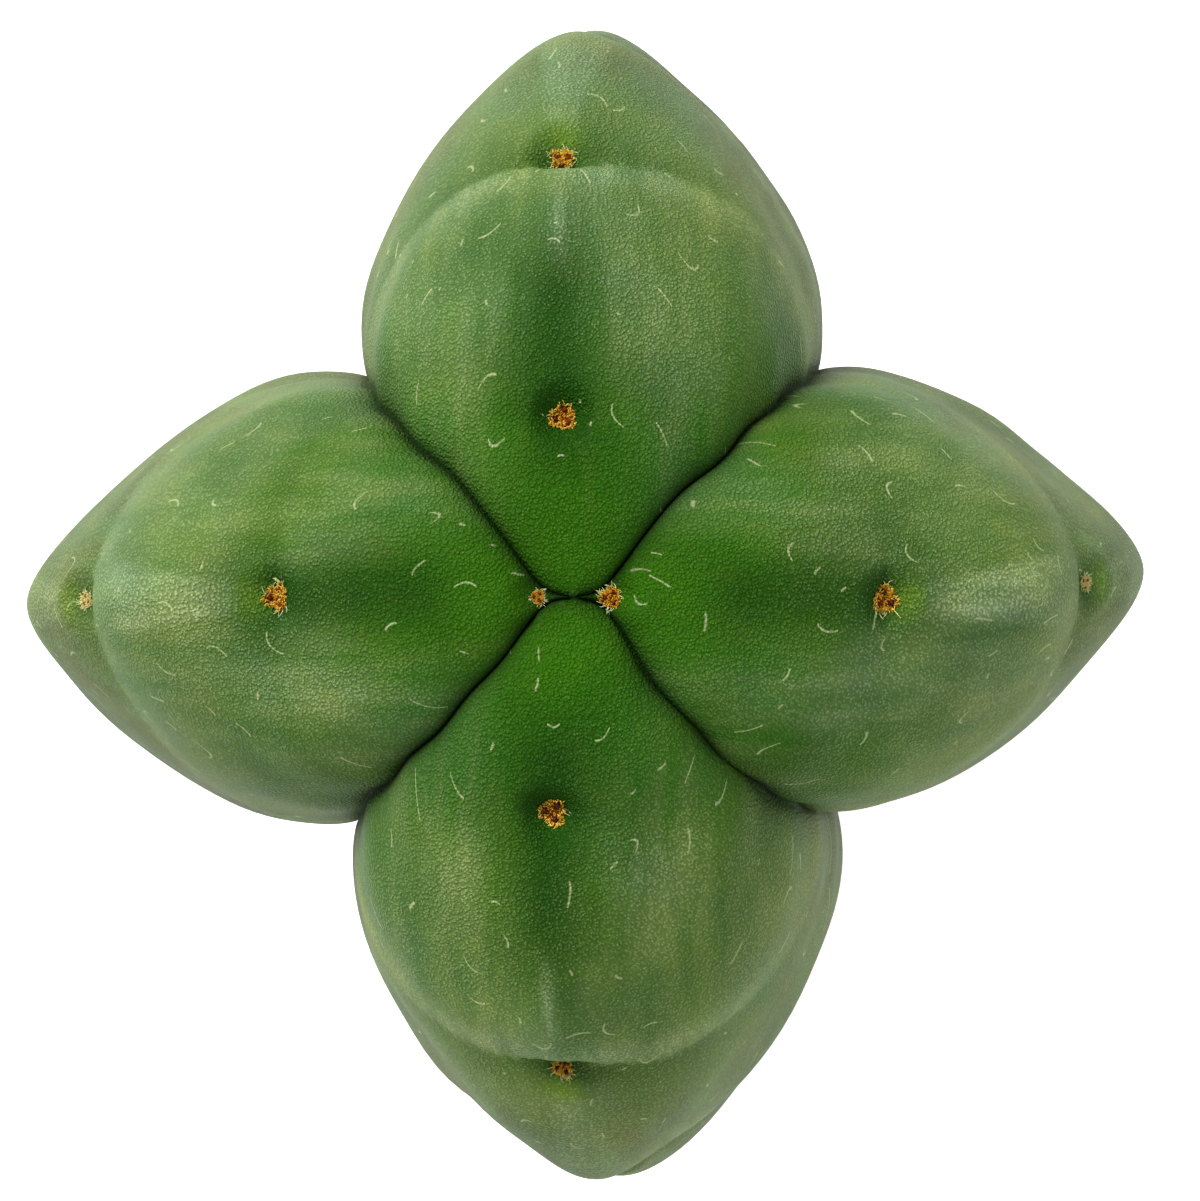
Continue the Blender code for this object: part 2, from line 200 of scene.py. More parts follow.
def rounded(corners, radius, steps=6):
    """The closed outline through corners, each (distance, height), with every one rounded by a curve."""
    outline = []
    for i, corner in enumerate(corners):
        here = Vector(corner)
        back = Vector(corners[i - 1]) - here
        ahead = Vector(corners[(i + 1) % len(corners)]) - here
        reach = min(radius, 0.4 * back.length, 0.4 * ahead.length)
        start, end = here + back.normalized() * reach, here + ahead.normalized() * reach
        for step in range(steps + 1):
            t = step / steps
            outline.append(start * (1 - t) ** 2 + here * 2 * t * (1 - t) + end * t**2)
    return outline


def spaced(outline, longest):
    """A closed outline with extra points, so that none of its steps is longer than asked."""
    points = []
    for i, here in enumerate(outline):
        ahead = outline[(i + 1) % len(outline)]
        pieces = max(1, math.ceil((ahead - here).length / longest))
        points += [here.lerp(ahead, k / pieces) for k in range(pieces)]
    return points


def around(radius, bearing, height):
    """Points round the upright axis, at one height or each at its own."""
    x, y = radius * np.cos(bearing), radius * np.sin(bearing)
    return np.stack([x, y, np.broadcast_to(height, x.shape)], -1)


def inner_radius(height):
    """The pot's inside radius at a height: a straight taper from its floor to its rim."""
    low, high = FOOT_RADIUS - FOOT_WALL, RIM_RADIUS - RIM_THICKNESS
    return low + (high - low) * (height - FLOOR_THICKNESS) / (POT_HEIGHT - FLOOR_THICKNESS)


def make_pot(material):
    """The turned pot. Its rings follow the closed outline, so the last one joins the first."""
    collar_z = POT_HEIGHT - COLLAR_HEIGHT
    collar_radius = RIM_RADIUS - COLLAR_TAPER
    corners = [
        (DRAIN_HOLE_RADIUS, 0),
        (FOOT_RADIUS, 0),
        (collar_radius - COLLAR_STEP, collar_z),
        (collar_radius, collar_z),
        (RIM_RADIUS + WALL_INSET, POT_HEIGHT),
        (inner_radius(POT_HEIGHT), POT_HEIGHT),
        (inner_radius(FLOOR_THICKNESS), FLOOR_THICKNESS),
        (DRAIN_HOLE_RADIUS, FLOOR_THICKNESS),
    ]
    outline = spaced(rounded(corners, CLAY_EDGE), TURNING_RING / 3)
    turn = np.linspace(0, 2 * math.pi, POT_SIDES, endpoint=False)
    rings = []
    for point in outline:
        on_wall = min(1, max(0, point.y / WALL_BEGINS)) * min(1, max(0, (POT_HEIGHT - point.y) / WALL_ENDS))
        groove = math.sin(2 * math.pi * point.y / TURNING_RING) + 0.6 * math.sin(point.y / FINGER_RIDGE)
        wobble = OUT_OF_ROUND * np.sin(2 * turn + point.y / OUT_OF_ROUND_TWIST)
        wobble = wobble + FIVE_SIDED * np.sin(5 * turn + 1)
        radius = point.x + on_wall * (TURNING_DEPTH * groove + wobble - WALL_INSET)
        rings.append(around(radius, turn, point.y))
    points, faces = skin_over(rings + [rings[0]])
    points = points[: -POT_SIDES]
    faces = [tuple(i % len(points) for i in face) for face in faces]
    return add_piece("clay_pot", points, faces, material, "pot")


def fired_clay():
    """Unglazed earthenware, turned and fired: dry and sandy, with mottled iron reds, darker where it's
    damp at the foot, and chalky lime in cloudy patches and along the turning rings."""
    material, tree, shader, place = blank_material("unglazed_fired_earthenware")
    cloud = noise(tree, place, CLOUD_SIZE, 5.0, 0.6)
    mottle = noise(tree, place, MOTTLE_SIZE, 4.0, 0.65)
    sand = noise(tree, place, SAND_SIZE, 2.0, 0.7)
    height = add(tree, "SeparateXYZ", {"Vector": place}).outputs["Z"]

    clay = mixed(tree, mottle, CLAY_COLOURS["dark"], CLAY_COLOURS["light"])
    grit = ranged(tree, sand, 0.62, 0.75, 0.0, 0.35)
    speckled = mixed(tree, grit, clay, CLAY_COLOURS["grit"])
    damp = ranged(tree, height, DAMP_RISES_TO, DAMP_FULL_AT, 0.0, 0.45)
    damped = mixed(tree, damp, speckled, CLAY_COLOURS["damp"])
    stretched = add(tree, "Mapping", {"Vector": place, "Scale": (1.0, 1.0, 3.5)}).outputs[0]
    streak = noise(tree, stretched, LIME_STREAK, 6.0, 0.7)
    lime = ranged(tree, streak, 0.52, 0.72, 0.0, 0.75)
    limed = mixed(tree, times(tree, lime, cloud), damped, CLAY_COLOURS["lime"])

    pinholes = add(tree, "TexVoronoi", {"Vector": place, "Scale": 1 / PINHOLES_APART})
    pits = ranged(tree, pinholes.outputs["Distance"], 0.0, 0.14, -0.25, 0.0)
    relief_mm = maths(tree, "MULTIPLY_ADD", sand, 0.12, pits)
    dress(tree, shader, {"Roughness": 0.88, "IOR": 1.5}, limed, relief_mm, 0.8)
    return material


make_pot(fired_clay())

# ---------------------------------------------------------------- stem, its shape
# The stem grew as one piece of water-holding tissue: four thick ribs round a core, which meet at the
# growing tip in a short slit. Each rib swells between its areoles and ends in a brow over the next one.

STEM_HEIGHT = 281 * MM
STEM_BURIED = 34 * MM
CROWN_HEIGHT = 43 * MM
CROWN_SQUARENESS = 2.25
FOOT_SHARE = 0.86
TAPER_STARTS = 120 * MM
SEASON_LENGTH = 96 * MM
SEASON_SHARE = 0.018
SOIL_BELOW_RIM = 11 * MM

RIBS = [
    {"name": "east", "crown": -1.0, "flank": 3.5, "brow": 0.3,
     "radius": 44.7 * MM, "first": 2.6 * MM, "spacing": 18.6 * MM},
    {"name": "north", "crown": 93.5, "flank": 88.2, "brow": 1.0,
     "radius": 45.3 * MM, "first": 12.4 * MM, "spacing": 20.1 * MM},
    {"name": "west", "crown": 180.0, "flank": 180.6, "brow": 0.4,
     "radius": 43.1 * MM, "first": 2.6 * MM, "spacing": 18.4 * MM},
    {"name": "south", "crown": 264.0, "flank": 274.8, "brow": 1.0,
     "radius": 46.2 * MM, "first": 14.7 * MM, "spacing": 20.6 * MM},
]
CREASES = [
    {"crown": 44.0, "flank": 43.2, "sunk": 0.37},
    {"crown": 136.0, "flank": 133.0, "sunk": 0.42},
    {"crown": 224.0, "flank": 225.8, "sunk": 0.40},
    {"crown": 312.0, "flank": 322.0, "sunk": 0.375},
]
SLIT_REACH = 3.6 * MM
SLIT_ANGLE = 3.0
CREASE_WIDTH = 8 * MM
CREASE_DEPTH = 1.9 * MM
CREASE_NARROWS = 0.6
CREASE_SUNK_CROWN = 0.20
CREASE_WAVE = 0.16 * MM
CREASE_WAVE_FROM = 9 * MM
CREASE_SHORT_WAVE = 1.7 * MM
CREASE_LONG_WAVE = 3.9 * MM
RIDGE_ROUND_CROWN = 0.45
RIDGE_ROUND_FLANK = 0.06
CROWN_SINK = 2.2 * MM
CROWN_SINK_REACH = 6 * MM
CROWN_RIPE_FROM = 5 * MM
CROWN_RIPE_SHARE = 0.7
TURN_FROM = 8 * MM
SLOPE_STEP = 0.5 * MM
AREOLES_PER_RIB = 12
LAST_AREOLE_ABOVE_SOIL = 12 * MM
SEGMENT_SWELL = 1.6 * MM
SEGMENT_REACH = 11 * MM
SEGMENT_GROWS_FROM = 12 * MM
SEGMENT_GROWS_OVER = 40 * MM
SEGMENT_RISING = 1.3
SEGMENT_FALLING = 1.2
BROW_STEEPER = 0.75
BROW_BACK = 16 * MM
BROW_BEND = 17.5 * MM
BROW_REACH = 5 * MM
BROW_ABOVE_PAD = 1.6 * MM
BROW_SETTLES_FROM = 14 * MM
BROW_SETTLES_OVER = 30 * MM
BROW_FADES_FROM = 30 * MM
BROW_FADES_OVER = 40 * MM
BROW_FADES_BY = 0.5
NOTCH_DEPTH = 1.1 * MM
NOTCH_WIDTH = 2.4 * MM
NOTCH_REACH = 2.8 * MM
FURROW_DEPTH = 0.9 * MM
FURROW_WIDTH = 6.8 * MM
FURROW_LENGTH = 13 * MM
FURROW_FROM_TIP = 12.5 * MM
KEEL_HEIGHT = 0.55 * MM
KEEL_WIDTH = 3.2 * MM
KEEL_RISES = (0.25, 0.4)
KEEL_FALLS = 0.1
KEEL_ENDS = 41 * MM
KEEL_FADES = 8 * MM
PIT_DEPTH = 0.6 * MM
PIT_REACH = 1.4 * MM
PIT_LIP_HEIGHT = 0.2 * MM
PIT_LIP_FROM = 2.4 * MM
PIT_LIP_REACH = 0.8 * MM
DENT_LENGTHS = (34, 27, 21, 17, 13, 11, 9, 7.5)
DENT_SUM = 45

SOIL_Z = POT_HEIGHT - SOIL_BELOW_RIM
STEM_TOP = SOIL_Z + STEM_HEIGHT
MEAN_RADIUS = sum(rib["radius"] for rib in RIBS) / len(RIBS)


def smooth(t):
    t = np.clip(t, 0.0, 1.0)
    return t * t * (3 - 2 * t)


def rises(value, start, over):
    """From 0 where the value starts to 1 a given way past it."""
    return smooth((value - start) / over)


def falls(value, end, over):
    """From 1 a given way before the value's end to 0 there."""
    return smooth((end - value) / over)


def bell(distance, reach):
    return np.exp(-((distance / reach) ** 2))


def make_profile(samples=400):
    """Down a ridge from the growing tip: distance, share of the rib's full radius, and depth below it."""
    bend = 2 / CROWN_SQUARENESS
    turn = np.linspace(0, math.pi / 2, samples)
    crown_share = np.sin(turn) ** bend
    crown_depth = CROWN_HEIGHT * (1 - np.cos(turn) ** bend)
    depth = np.linspace(CROWN_HEIGHT, STEM_HEIGHT, samples)[1:]
    narrowing = (1 - FOOT_SHARE) * rises(depth, TAPER_STARTS, STEM_HEIGHT - TAPER_STARTS)
    season = SEASON_SHARE * (1 - np.cos(2 * math.pi * (depth - CROWN_HEIGHT) / SEASON_LENGTH)) / 2
    season *= falls(depth, STEM_HEIGHT, SEASON_LENGTH / 2)
    column_share = 1 - narrowing - season
    turn = np.linspace(0, math.pi / 2, samples)[1:]
    root_share = FOOT_SHARE * np.cos(turn) ** 0.5
    root_depth = STEM_HEIGHT + STEM_BURIED * np.sin(turn)
    share = np.concatenate([crown_share, column_share, root_share])
    depth = np.concatenate([crown_depth, depth, root_depth])
    steps = np.hypot(MEAN_RADIUS * np.diff(share), np.diff(depth))
    return np.concatenate([[0], np.cumsum(steps)]), share, depth


PROFILE_DOWN, PROFILE_SHARE, PROFILE_DEPTH = make_profile()
RIDGE_TO_SOIL = float(np.interp(STEM_HEIGHT, PROFILE_DEPTH, PROFILE_DOWN))
RIDGE_TO_ROOT = float(PROFILE_DOWN[-1])
CROWN_REACH = float(np.interp(CROWN_HEIGHT, PROFILE_DEPTH, PROFILE_DOWN))


def areole_places(rib):
    """Distances down the ridge of a rib's areoles. They stand further apart the lower they are."""
    steps = np.arange(AREOLES_PER_RIB)
    even = rib["first"] + rib["spacing"] * steps
    spare = RIDGE_TO_SOIL - LAST_AREOLE_ABOVE_SOIL - even[-1]
    return even + spare * (steps / steps[-1]) ** 2


def swept(bearings, down):
    """A ridge's or crease's bearing in radians, which turns from the crown's to the flank's."""
    turn = rises(down, TURN_FROM, CROWN_REACH - TURN_FROM)
    return np.radians(bearings["crown"] + (bearings["flank"] - bearings["crown"]) * turn)


def crease_bearing(index, down, distance):
    """A crease's bearing. Near the growing tip it bends to the slit, and it wanders on its way down."""
    slit = math.radians(SLIT_ANGLE)
    slit = (slit, math.pi - slit, math.pi + slit, 2 * math.pi - slit)[index]
    bent = np.exp(-((distance / SLIT_REACH) ** 1.6))
    wave = np.sin(down / CREASE_SHORT_WAVE + 2 * index) + 0.8 * np.sin(down / CREASE_LONG_WAVE + index)
    wander = CREASE_WAVE * wave * (1 - bell(distance, CREASE_WAVE_FROM)) / np.maximum(distance, MM)
    return (swept(CREASES[index], down) + wander) * (1 - bent) + slit * bent


def stem_points(rib_index, across, down):
    """Points on one rib, and what is needed to mark its skin there.

    across runs from -1 to 1 between the rib's creases, and down is measured from the growing tip."""
    rib = RIBS[rib_index]
    share = np.interp(down, PROFILE_DOWN, PROFILE_SHARE)
    depth = np.interp(down, PROFILE_DOWN, PROFILE_DEPTH)
    lowered = rises(down, CROWN_RIPE_FROM, CROWN_RIPE_SHARE * CROWN_REACH)
    sunk_after, sunk_before = CREASES[rib_index]["sunk"], CREASES[rib_index - 1]["sunk"]
    sunk_after = CREASE_SUNK_CROWN + (sunk_after - CREASE_SUNK_CROWN) * lowered
    sunk_before = CREASE_SUNK_CROWN + (sunk_before - CREASE_SUNK_CROWN) * lowered
    roundness = RIDGE_ROUND_CROWN + (RIDGE_ROUND_FLANK - RIDGE_ROUND_CROWN) * lowered
    fall = (np.hypot(across, roundness) - roundness) / (np.hypot(1, roundness) - roundness)
    radius = rib["radius"] + (MEAN_RADIUS - rib["radius"]) * across**2
    full = radius * (1 - np.where(across > 0, sunk_after, sunk_before) * fall)
    distance = share * full

    ridge = swept(rib, down)
    after = crease_bearing(rib_index, down, share * MEAN_RADIUS * (1 - sunk_after))
    before = crease_bearing(rib_index - 1, down, share * MEAN_RADIUS * (1 - sunk_before))
    before = before - 2 * math.pi * (rib_index == 0)
    bearing = ridge + np.where(across > 0, across * (after - ridge), -across * (before - ridge))

    steps = (-SLOPE_STEP, SLOPE_STEP)
    share_above, share_below = (np.interp(down + step, PROFILE_DOWN, PROFILE_SHARE) for step in steps)
    depth_above, depth_below = (np.interp(down + step, PROFILE_DOWN, PROFILE_DEPTH) for step in steps)
    rise, sink = (share_below - share_above) * full, depth_below - depth_above
    length = np.hypot(rise, sink)
    out, up = sink / length, rise / length

    half_width = distance * np.where(across > 0, after - ridge, ridge - before)
    off_ridge = distance * (bearing - ridge)
    marks = {
        "down": down,
        "distance": distance,
        "off_ridge": off_ridge,
        "half_width": half_width,
        "to_crease": half_width - np.abs(off_ridge),
    }
    lift = relief(rib, marks)
    distance = distance + lift * out
    depth = depth - lift * up
    return around(distance, bearing, STEM_TOP - depth), marks


def relief(rib, marks):
    """How far the skin stands out from the plain ribbed column. Adds places in the segment to marks."""
    down, off_ridge = marks["down"], np.abs(marks["off_ridge"])
    width = np.minimum(CREASE_WIDTH, marks["half_width"])
    edge = 1 - np.clip(marks["to_crease"] / np.maximum(width, MM / 10), 0, 1)
    lift = -CREASE_DEPTH * (width / CREASE_WIDTH) ** CREASE_NARROWS * (1 - np.sqrt(1 - edge**2))
    lift = lift - CROWN_SINK * bell(marks["distance"], CROWN_SINK_REACH)
    along_furrow = bell(down - FURROW_FROM_TIP, FURROW_LENGTH / 2)
    lift = lift - FURROW_DEPTH * along_furrow * bell(off_ridge, FURROW_WIDTH / 2)

    places = areole_places(rib)
    stops = np.append(places, 2 * places[-1] - places[-2])
    age = rises(down, BROW_SETTLES_FROM, BROW_SETTLES_OVER)
    level = down - BROW_BACK * (1 - bell(off_ridge, BROW_BEND)) + BROW_ABOVE_PAD * age
    index = np.clip(np.searchsorted(stops, level) - 1, 0, len(stops) - 2)
    start, end = stops[index], stops[index + 1]
    phase = np.clip((level - start) / (end - start), 0, 1)
    grown = rises(end, SEGMENT_GROWS_FROM, SEGMENT_GROWS_OVER)
    grown = grown * falls(down, RIDGE_TO_SOIL, LAST_AREOLE_ABOVE_SOIL)
    cut = rib["brow"] * grown * (1 - BROW_FADES_BY * rises(start, BROW_FADES_FROM, BROW_FADES_OVER))
    rising = SEGMENT_RISING
    falling = SEGMENT_FALLING - BROW_STEEPER * cut * bell(off_ridge, BROW_REACH)
    peak = rising / (rising + falling)
    swell = (phase / peak) ** rising * ((1 - phase) / (1 - peak)) ** falling
    lift = lift + SEGMENT_SWELL * grown * swell * bell(off_ridge, SEGMENT_REACH * math.sqrt(rib["brow"]))
    near = np.abs(level[..., None] - places).min(-1)
    lift = lift - NOTCH_DEPTH * cut * bell(near, NOTCH_WIDTH / 2) * bell(off_ridge, NOTCH_REACH)
    keel = rises(phase, *KEEL_RISES) * falls(phase, 1, KEEL_FALLS)
    keel = keel * grown * falls(down, KEEL_ENDS, KEEL_FADES)
    lift = lift + KEEL_HEIGHT * keel * bell(off_ridge, KEEL_WIDTH / 2)

    apart = down[..., None] - places
    nearest = np.abs(apart).argmin(-1)[..., None]
    past_pad = np.take_along_axis(apart, nearest, -1)[..., 0]
    to_pad = np.hypot(past_pad, off_ridge)
    lift = lift - PIT_DEPTH * bell(to_pad, PIT_REACH)
    lift = lift + PIT_LIP_HEIGHT * bell(to_pad - PIT_LIP_FROM, PIT_LIP_REACH)
    marks.update(phase=phase, start=start, end=end, cut=cut, past_pad=past_pad, to_pad=to_pad)
    return lift


def dents(points):
    """The slow unevenness of a grown skin: a sum of waves that run in many directions."""
    rng = np.random.default_rng(7)
    total = np.zeros(len(points))
    for wavelength in DENT_LENGTHS:
        for _ in range(3):
            direction = rng.normal(size=3)
            direction /= np.linalg.norm(direction)
            start = rng.uniform(0, 2 * math.pi)
            total += wavelength**0.8 * np.sin(points @ direction * 2 * math.pi / (wavelength * MM) + start)
    return total / DENT_SUM


# ---------------------------------------------------------------- potting mix
# A gritty cactus mix filled to a finger's width below the rim and firmed round the stem: dark peat and
# bark fines, with bark chips, brown and grey grit and pale pumice lying loose on top.

SOIL_HEAP = 2.5 * MM
SOIL_GAP = 0.3 * MM
SOCKET_GAP = 0.5 * MM
SOIL_COLUMNS = 240
TOP_RINGS = 34
SOCKET_RINGS = 6
WALL_RINGS = 5
ROUGH_LENGTHS = (23, 14, 9, 6.2, 4.3, 3.1, 2.3, 1.8)
ROUGHNESS = 0.11 * MM
SETTLED = 0.4 * MM
CRUMB_SIDES = 6
CRUMB_RINGS = ((-0.75, 0.55), (-0.2, 1.0), (0.45, 0.85))
CLEAR_OF_STEM = 0.4 * MM
CLEAR_OF_POT = 1.0 * MM
LUMP_SIZE = 1.6 * MM
BARK_FLECKS_APART = 1.1 * MM
SHADES_APART = 3.5 * MM
GRAIN_DEPTH = 0.25 * MM
PEAT_COLOURS = {"dark": "#1d140d", "light": "#4c3626", "fleck": "#7d5a3c"}


def stem_outline(down, count):
    """A ring of points round the stem at a distance down its ribs, count of them in all."""
    across = np.linspace(-1, 1, count // len(RIBS) + 1)[:-1]
    level = np.full_like(across, down)
    return np.concatenate([stem_points(i, across, level)[0] for i in range(len(RIBS))])


def soil_height(points):
    """The soil's top at places across the pot: heaped to the stem, and uneven with crumbs."""
    radius = np.hypot(points[:, 0], points[:, 1]) / inner_radius(SOIL_Z)
    heap = SOIL_HEAP * falls(radius, 1, 0.65)
    rough = np.zeros(len(points))
    rng = np.random.default_rng(3)
    for wavelength in ROUGH_LENGTHS:
        for _ in range(3):
            angle, start = rng.uniform(0, 2 * math.pi, 2)
            along = points[:, 0] * math.cos(angle) + points[:, 1] * math.sin(angle)
            rough += wavelength**0.55 * np.sin(along * 2 * math.pi / (wavelength * MM) + start)
    return SOIL_Z + heap + ROUGHNESS * rough - SETTLED


def make_soil(material):
    """The body of the mix: up the stem's socket, out over the top, down the pot's wall and under."""
    inner = stem_outline(RIDGE_TO_SOIL, SOIL_COLUMNS)
    reach = np.linalg.norm(inner[:, :2], axis=1, keepdims=True)
    inner = inner * (1 + SOCKET_GAP / reach)
    bearing = np.arctan2(inner[:, 1], inner[:, 0])
    wall = around(1, bearing, 0)
    outer = wall * (inner_radius(SOIL_Z) - SOIL_GAP)
    rings = []
    for down in np.linspace(RIDGE_TO_ROOT - 4 * MM, RIDGE_TO_SOIL + 4 * MM, SOCKET_RINGS):
        ring = stem_outline(down, SOIL_COLUMNS)
        ring[:, :2] *= 1 + SOCKET_GAP / np.linalg.norm(ring[:, :2], axis=1, keepdims=True)
        rings.append(ring - (0, 0, SOCKET_GAP))
    for share in np.linspace(0, 1, TOP_RINGS):
        ring = inner * (1 - share) + outer * share
        ring[:, 2] = soil_height(ring)
        rings.append(ring)
    floor_z = FLOOR_THICKNESS + SOIL_GAP
    for z in np.linspace(SOIL_Z - 4 * MM, floor_z, WALL_RINGS):
        rings.append(wall * (inner_radius(z) - SOIL_GAP) + (0, 0, z))
    root_z = STEM_TOP - float(PROFILE_DEPTH[-1]) - SOCKET_GAP
    points, faces = skin_over(rings, (0, 0, root_z), (0, 0, floor_z))
    return add_piece("potting_mix", points, faces, material, "soil")


def crumb(rng, size, flatness):
    """One broken crumb: a six-sided block, chipped by pulling each of its corners in or out."""
    turn = np.linspace(0, 2 * math.pi, CRUMB_SIDES, endpoint=False)
    rings = []
    for z, width in CRUMB_RINGS:
        rings.append(around(width, turn, z * flatness) * rng.uniform(0.72, 1.15, (CRUMB_SIDES, 1)))
    points, faces = skin_over(rings, (0, 0, -0.95 * flatness), (0, 0, 0.85 * flatness))
    spin = rng.uniform(0, 2 * math.pi)
    tilt = rng.normal(0, 0.35, 2)
    cos, sin = math.cos(spin), math.sin(spin)
    points = points @ np.array([[cos, -sin, tilt[0]], [sin, cos, tilt[1]], [0, 0, 1]]) * size
    return points, faces


def scatter_crumbs(name, count_wanted, material, sizes, stretch, flatness, seed):
    """Loose crumbs of one kind on the soil, clear of the stem and the pot, joined in one piece."""
    rng = np.random.default_rng(seed)
    inner = stem_outline(RIDGE_TO_SOIL, SOIL_COLUMNS)
    bearings = np.arctan2(inner[:, 1], inner[:, 0])
    order = np.argsort(bearings)
    limits, reach = bearings[order], np.linalg.norm(inner[:, :2], axis=1)[order]
    points, faces, count = [], [], 0
    while len(points) < count_wanted:
        size = rng.uniform(*sizes) / 2
        bearing = rng.uniform(-math.pi, math.pi)
        nearest = np.interp(bearing, limits, reach, period=2 * math.pi) + size + CLEAR_OF_STEM
        furthest = inner_radius(SOIL_Z) - size - CLEAR_OF_POT
        radius = math.sqrt(rng.uniform(0, 1)) * inner_radius(SOIL_Z)
        if not nearest < radius < furthest:
            continue
        block, sides = crumb(rng, size, flatness)
        block[:, 0] *= stretch
        angle = rng.uniform(0, 2 * math.pi)
        cos, sin = math.cos(angle), math.sin(angle)
        block[:, :2] = block[:, :2] @ np.array([[cos, -sin], [sin, cos]])
        place = around(radius, np.array([bearing]), 0.0)
        place[0, 2] = soil_height(place)[0] + size * flatness * rng.uniform(0.1, 0.5)
        points.append(block + place)
        faces += [tuple(i + count for i in side) for side in sides]
        count += len(block)
    piece = add_piece(name, np.concatenate(points), faces, material)
    piece.data.shade_flat()
    return piece


def peat_and_bark_fines():
    """Moist peat and bark fines, sieved and firmed: near black and fibrous, with warm brown flecks."""
    material, tree, shader, place = blank_material("peat_and_bark_fines")
    lumps = noise(tree, place, LUMP_SIZE, 6.0, 0.75)
    flecks = add(tree, "TexVoronoi", {"Vector": place, "Scale": 1 / BARK_FLECKS_APART})
    ramp = add(tree, "ValToRGB", {"Fac": lumps})
    dark, light = ramp.color_ramp.elements
    dark.position, dark.color = 0.35, linear(PEAT_COLOURS["dark"])
    light.position, light.color = 0.68, linear(PEAT_COLOURS["light"])
    paler = ranged(tree, flecks.outputs["Color"], 0.8, 0.95, 0.0, 0.5)
    colour = mixed(tree, paler, ramp.outputs[0], PEAT_COLOURS["fleck"])
    relief_mm = maths(tree, "MULTIPLY_ADD", lumps, 0.9, flecks.outputs["Distance"])
    dress(tree, shader, {"Roughness": 0.95}, colour, relief_mm, 0.7)
    return material


def broken_mineral(name, dark, light, grain, roughness):
    """Grit, pumice or bark, broken and sieved: each crumb has its own shade, and a fine broken grain."""
    material, tree, shader, place = blank_material(name)
    shade = add(tree, "TexVoronoi", {"Vector": place, "Scale": 1 / SHADES_APART})
    fine = noise(tree, place, grain, 4.0, 0.7)
    both = times(tree, shade.outputs["Color"], fine)
    colour = mixed(tree, ranged(tree, both, 0.05, 0.5), dark, light)
    dress(tree, shader, {"Roughness": roughness}, colour, fine, 0.8, GRAIN_DEPTH)
    return material


make_soil(peat_and_bark_fines())
bark = broken_mineral("chipped_pine_bark", "#2c1a10", "#8a5a38", 0.5 * MM, 0.85)
grit = broken_mineral("crushed_granite_grit", "#4a4540", "#a89c8c", 0.4 * MM, 0.75)
pumice = broken_mineral("crushed_pumice", "#b3aa9a", "#efeadf", 0.3 * MM, 0.9)
scatter_crumbs("soil_bark_chips", 420, bark, (1.6 * MM, 4.4 * MM), 1.5, 0.45, 11)
scatter_crumbs("soil_grit", 520, grit, (1.0 * MM, 2.6 * MM), 1.1, 0.8, 12)
scatter_crumbs("soil_pumice", 210, pumice, (1.4 * MM, 3.6 * MM), 1.1, 0.8, 13)

# ---------------------------------------------------------------- stem, its skin
# Tough waxy skin, pebbled like fine leather. It's vivid green where it's young, at the tip and down the
# creases, and paler and greyer as a bloom of wax grows over it. Below each areole the wax lies in a wedge.

STEM_COLUMNS_PER_RIB = 76
CROWN_ROW = 0.5 * MM
COLUMN_ROW = 1.6 * MM
FIRST_ROW = 0.4 * MM
ROOT_ROWS = 7
DENT_DEPTH = 0.32 * MM
RIPENS_FROM, RIPENS_OVER = 4 * MM, 44 * MM
AGES_FROM, AGES_OVER = 50 * MM, 60 * MM
CORK_HEIGHT = 55 * MM
FIRST_SEGMENT = 16 * MM
SECOND_SEGMENT = 30 * MM

# The real skin's pebbles and pores are under 0.1 mm across, and are drawn coarser so that they show
PEBBLE = 0.22 * MM
PEBBLE_WARP = 0.2 * MM
WARP_SIZE = 0.7 * MM
PORE_SPACING = 0.24 * MM
FINE_GRAIN = 0.16 * MM
RIPPLE = 0.42 * MM
PATCH_SIZE = 7 * MM
SUN_SIZE = 10 * MM
BROAD_SIZE = 19 * MM
STREAKS_PER_METRE = (110.0, 460.0, 1.0)
LINT_SPACING = 2.9 * MM
LINT_LENGTH = 0.85 * MM
LINT_WIDTH = 0.1 * MM
LINT_CURL = 3.2
TISSUE_RAMP = [
    (0.03, "#356f02"), (0.2, "#447012"), (0.45, "#4f752c"),
    (0.72, "#668340"), (0.88, "#698344"), (1.0, "#5b7036"),
]
SKIN_COLOURS = {
    "aged": "#586c3a", "furrow_and_shade": "#1e4c06", "halo": "#74992c", "wax_and_highlight": "#a4ba8a", "flank wax": "#a9b676",
    "pore": "#6f9a30", "fleck": "#a8bc90", "lint": "#c6cf98", "cork": "#94825a", "crease": "#061a02",
}
COOL_TINT = (0.8, 0.92, 1.06, 1)
WARM_TINT = (1.22, 1.1, 0.84, 1)


def columns_across(count):
    """Places across a rib from crease to crease, closer together at the ridge and the creases."""
    t = np.linspace(-1, 1, count + 1)[:-1]
    return t - 0.55 * np.sin(2 * math.pi * t) / (2 * math.pi)


def rows_down():
    """Distances down the ribs of the mesh's rows: fine in the crown, and coarse below the soil."""
    crown = np.arange(FIRST_ROW, CROWN_REACH + 12 * MM, CROWN_ROW)
    column = np.arange(crown[-1] + COLUMN_ROW, RIDGE_TO_SOIL + 4 * MM, COLUMN_ROW)
    root = np.linspace(column[-1] + 4 * MM, RIDGE_TO_ROOT - 1 * MM, ROOT_ROWS)
    return np.concatenate([crown, column, root])


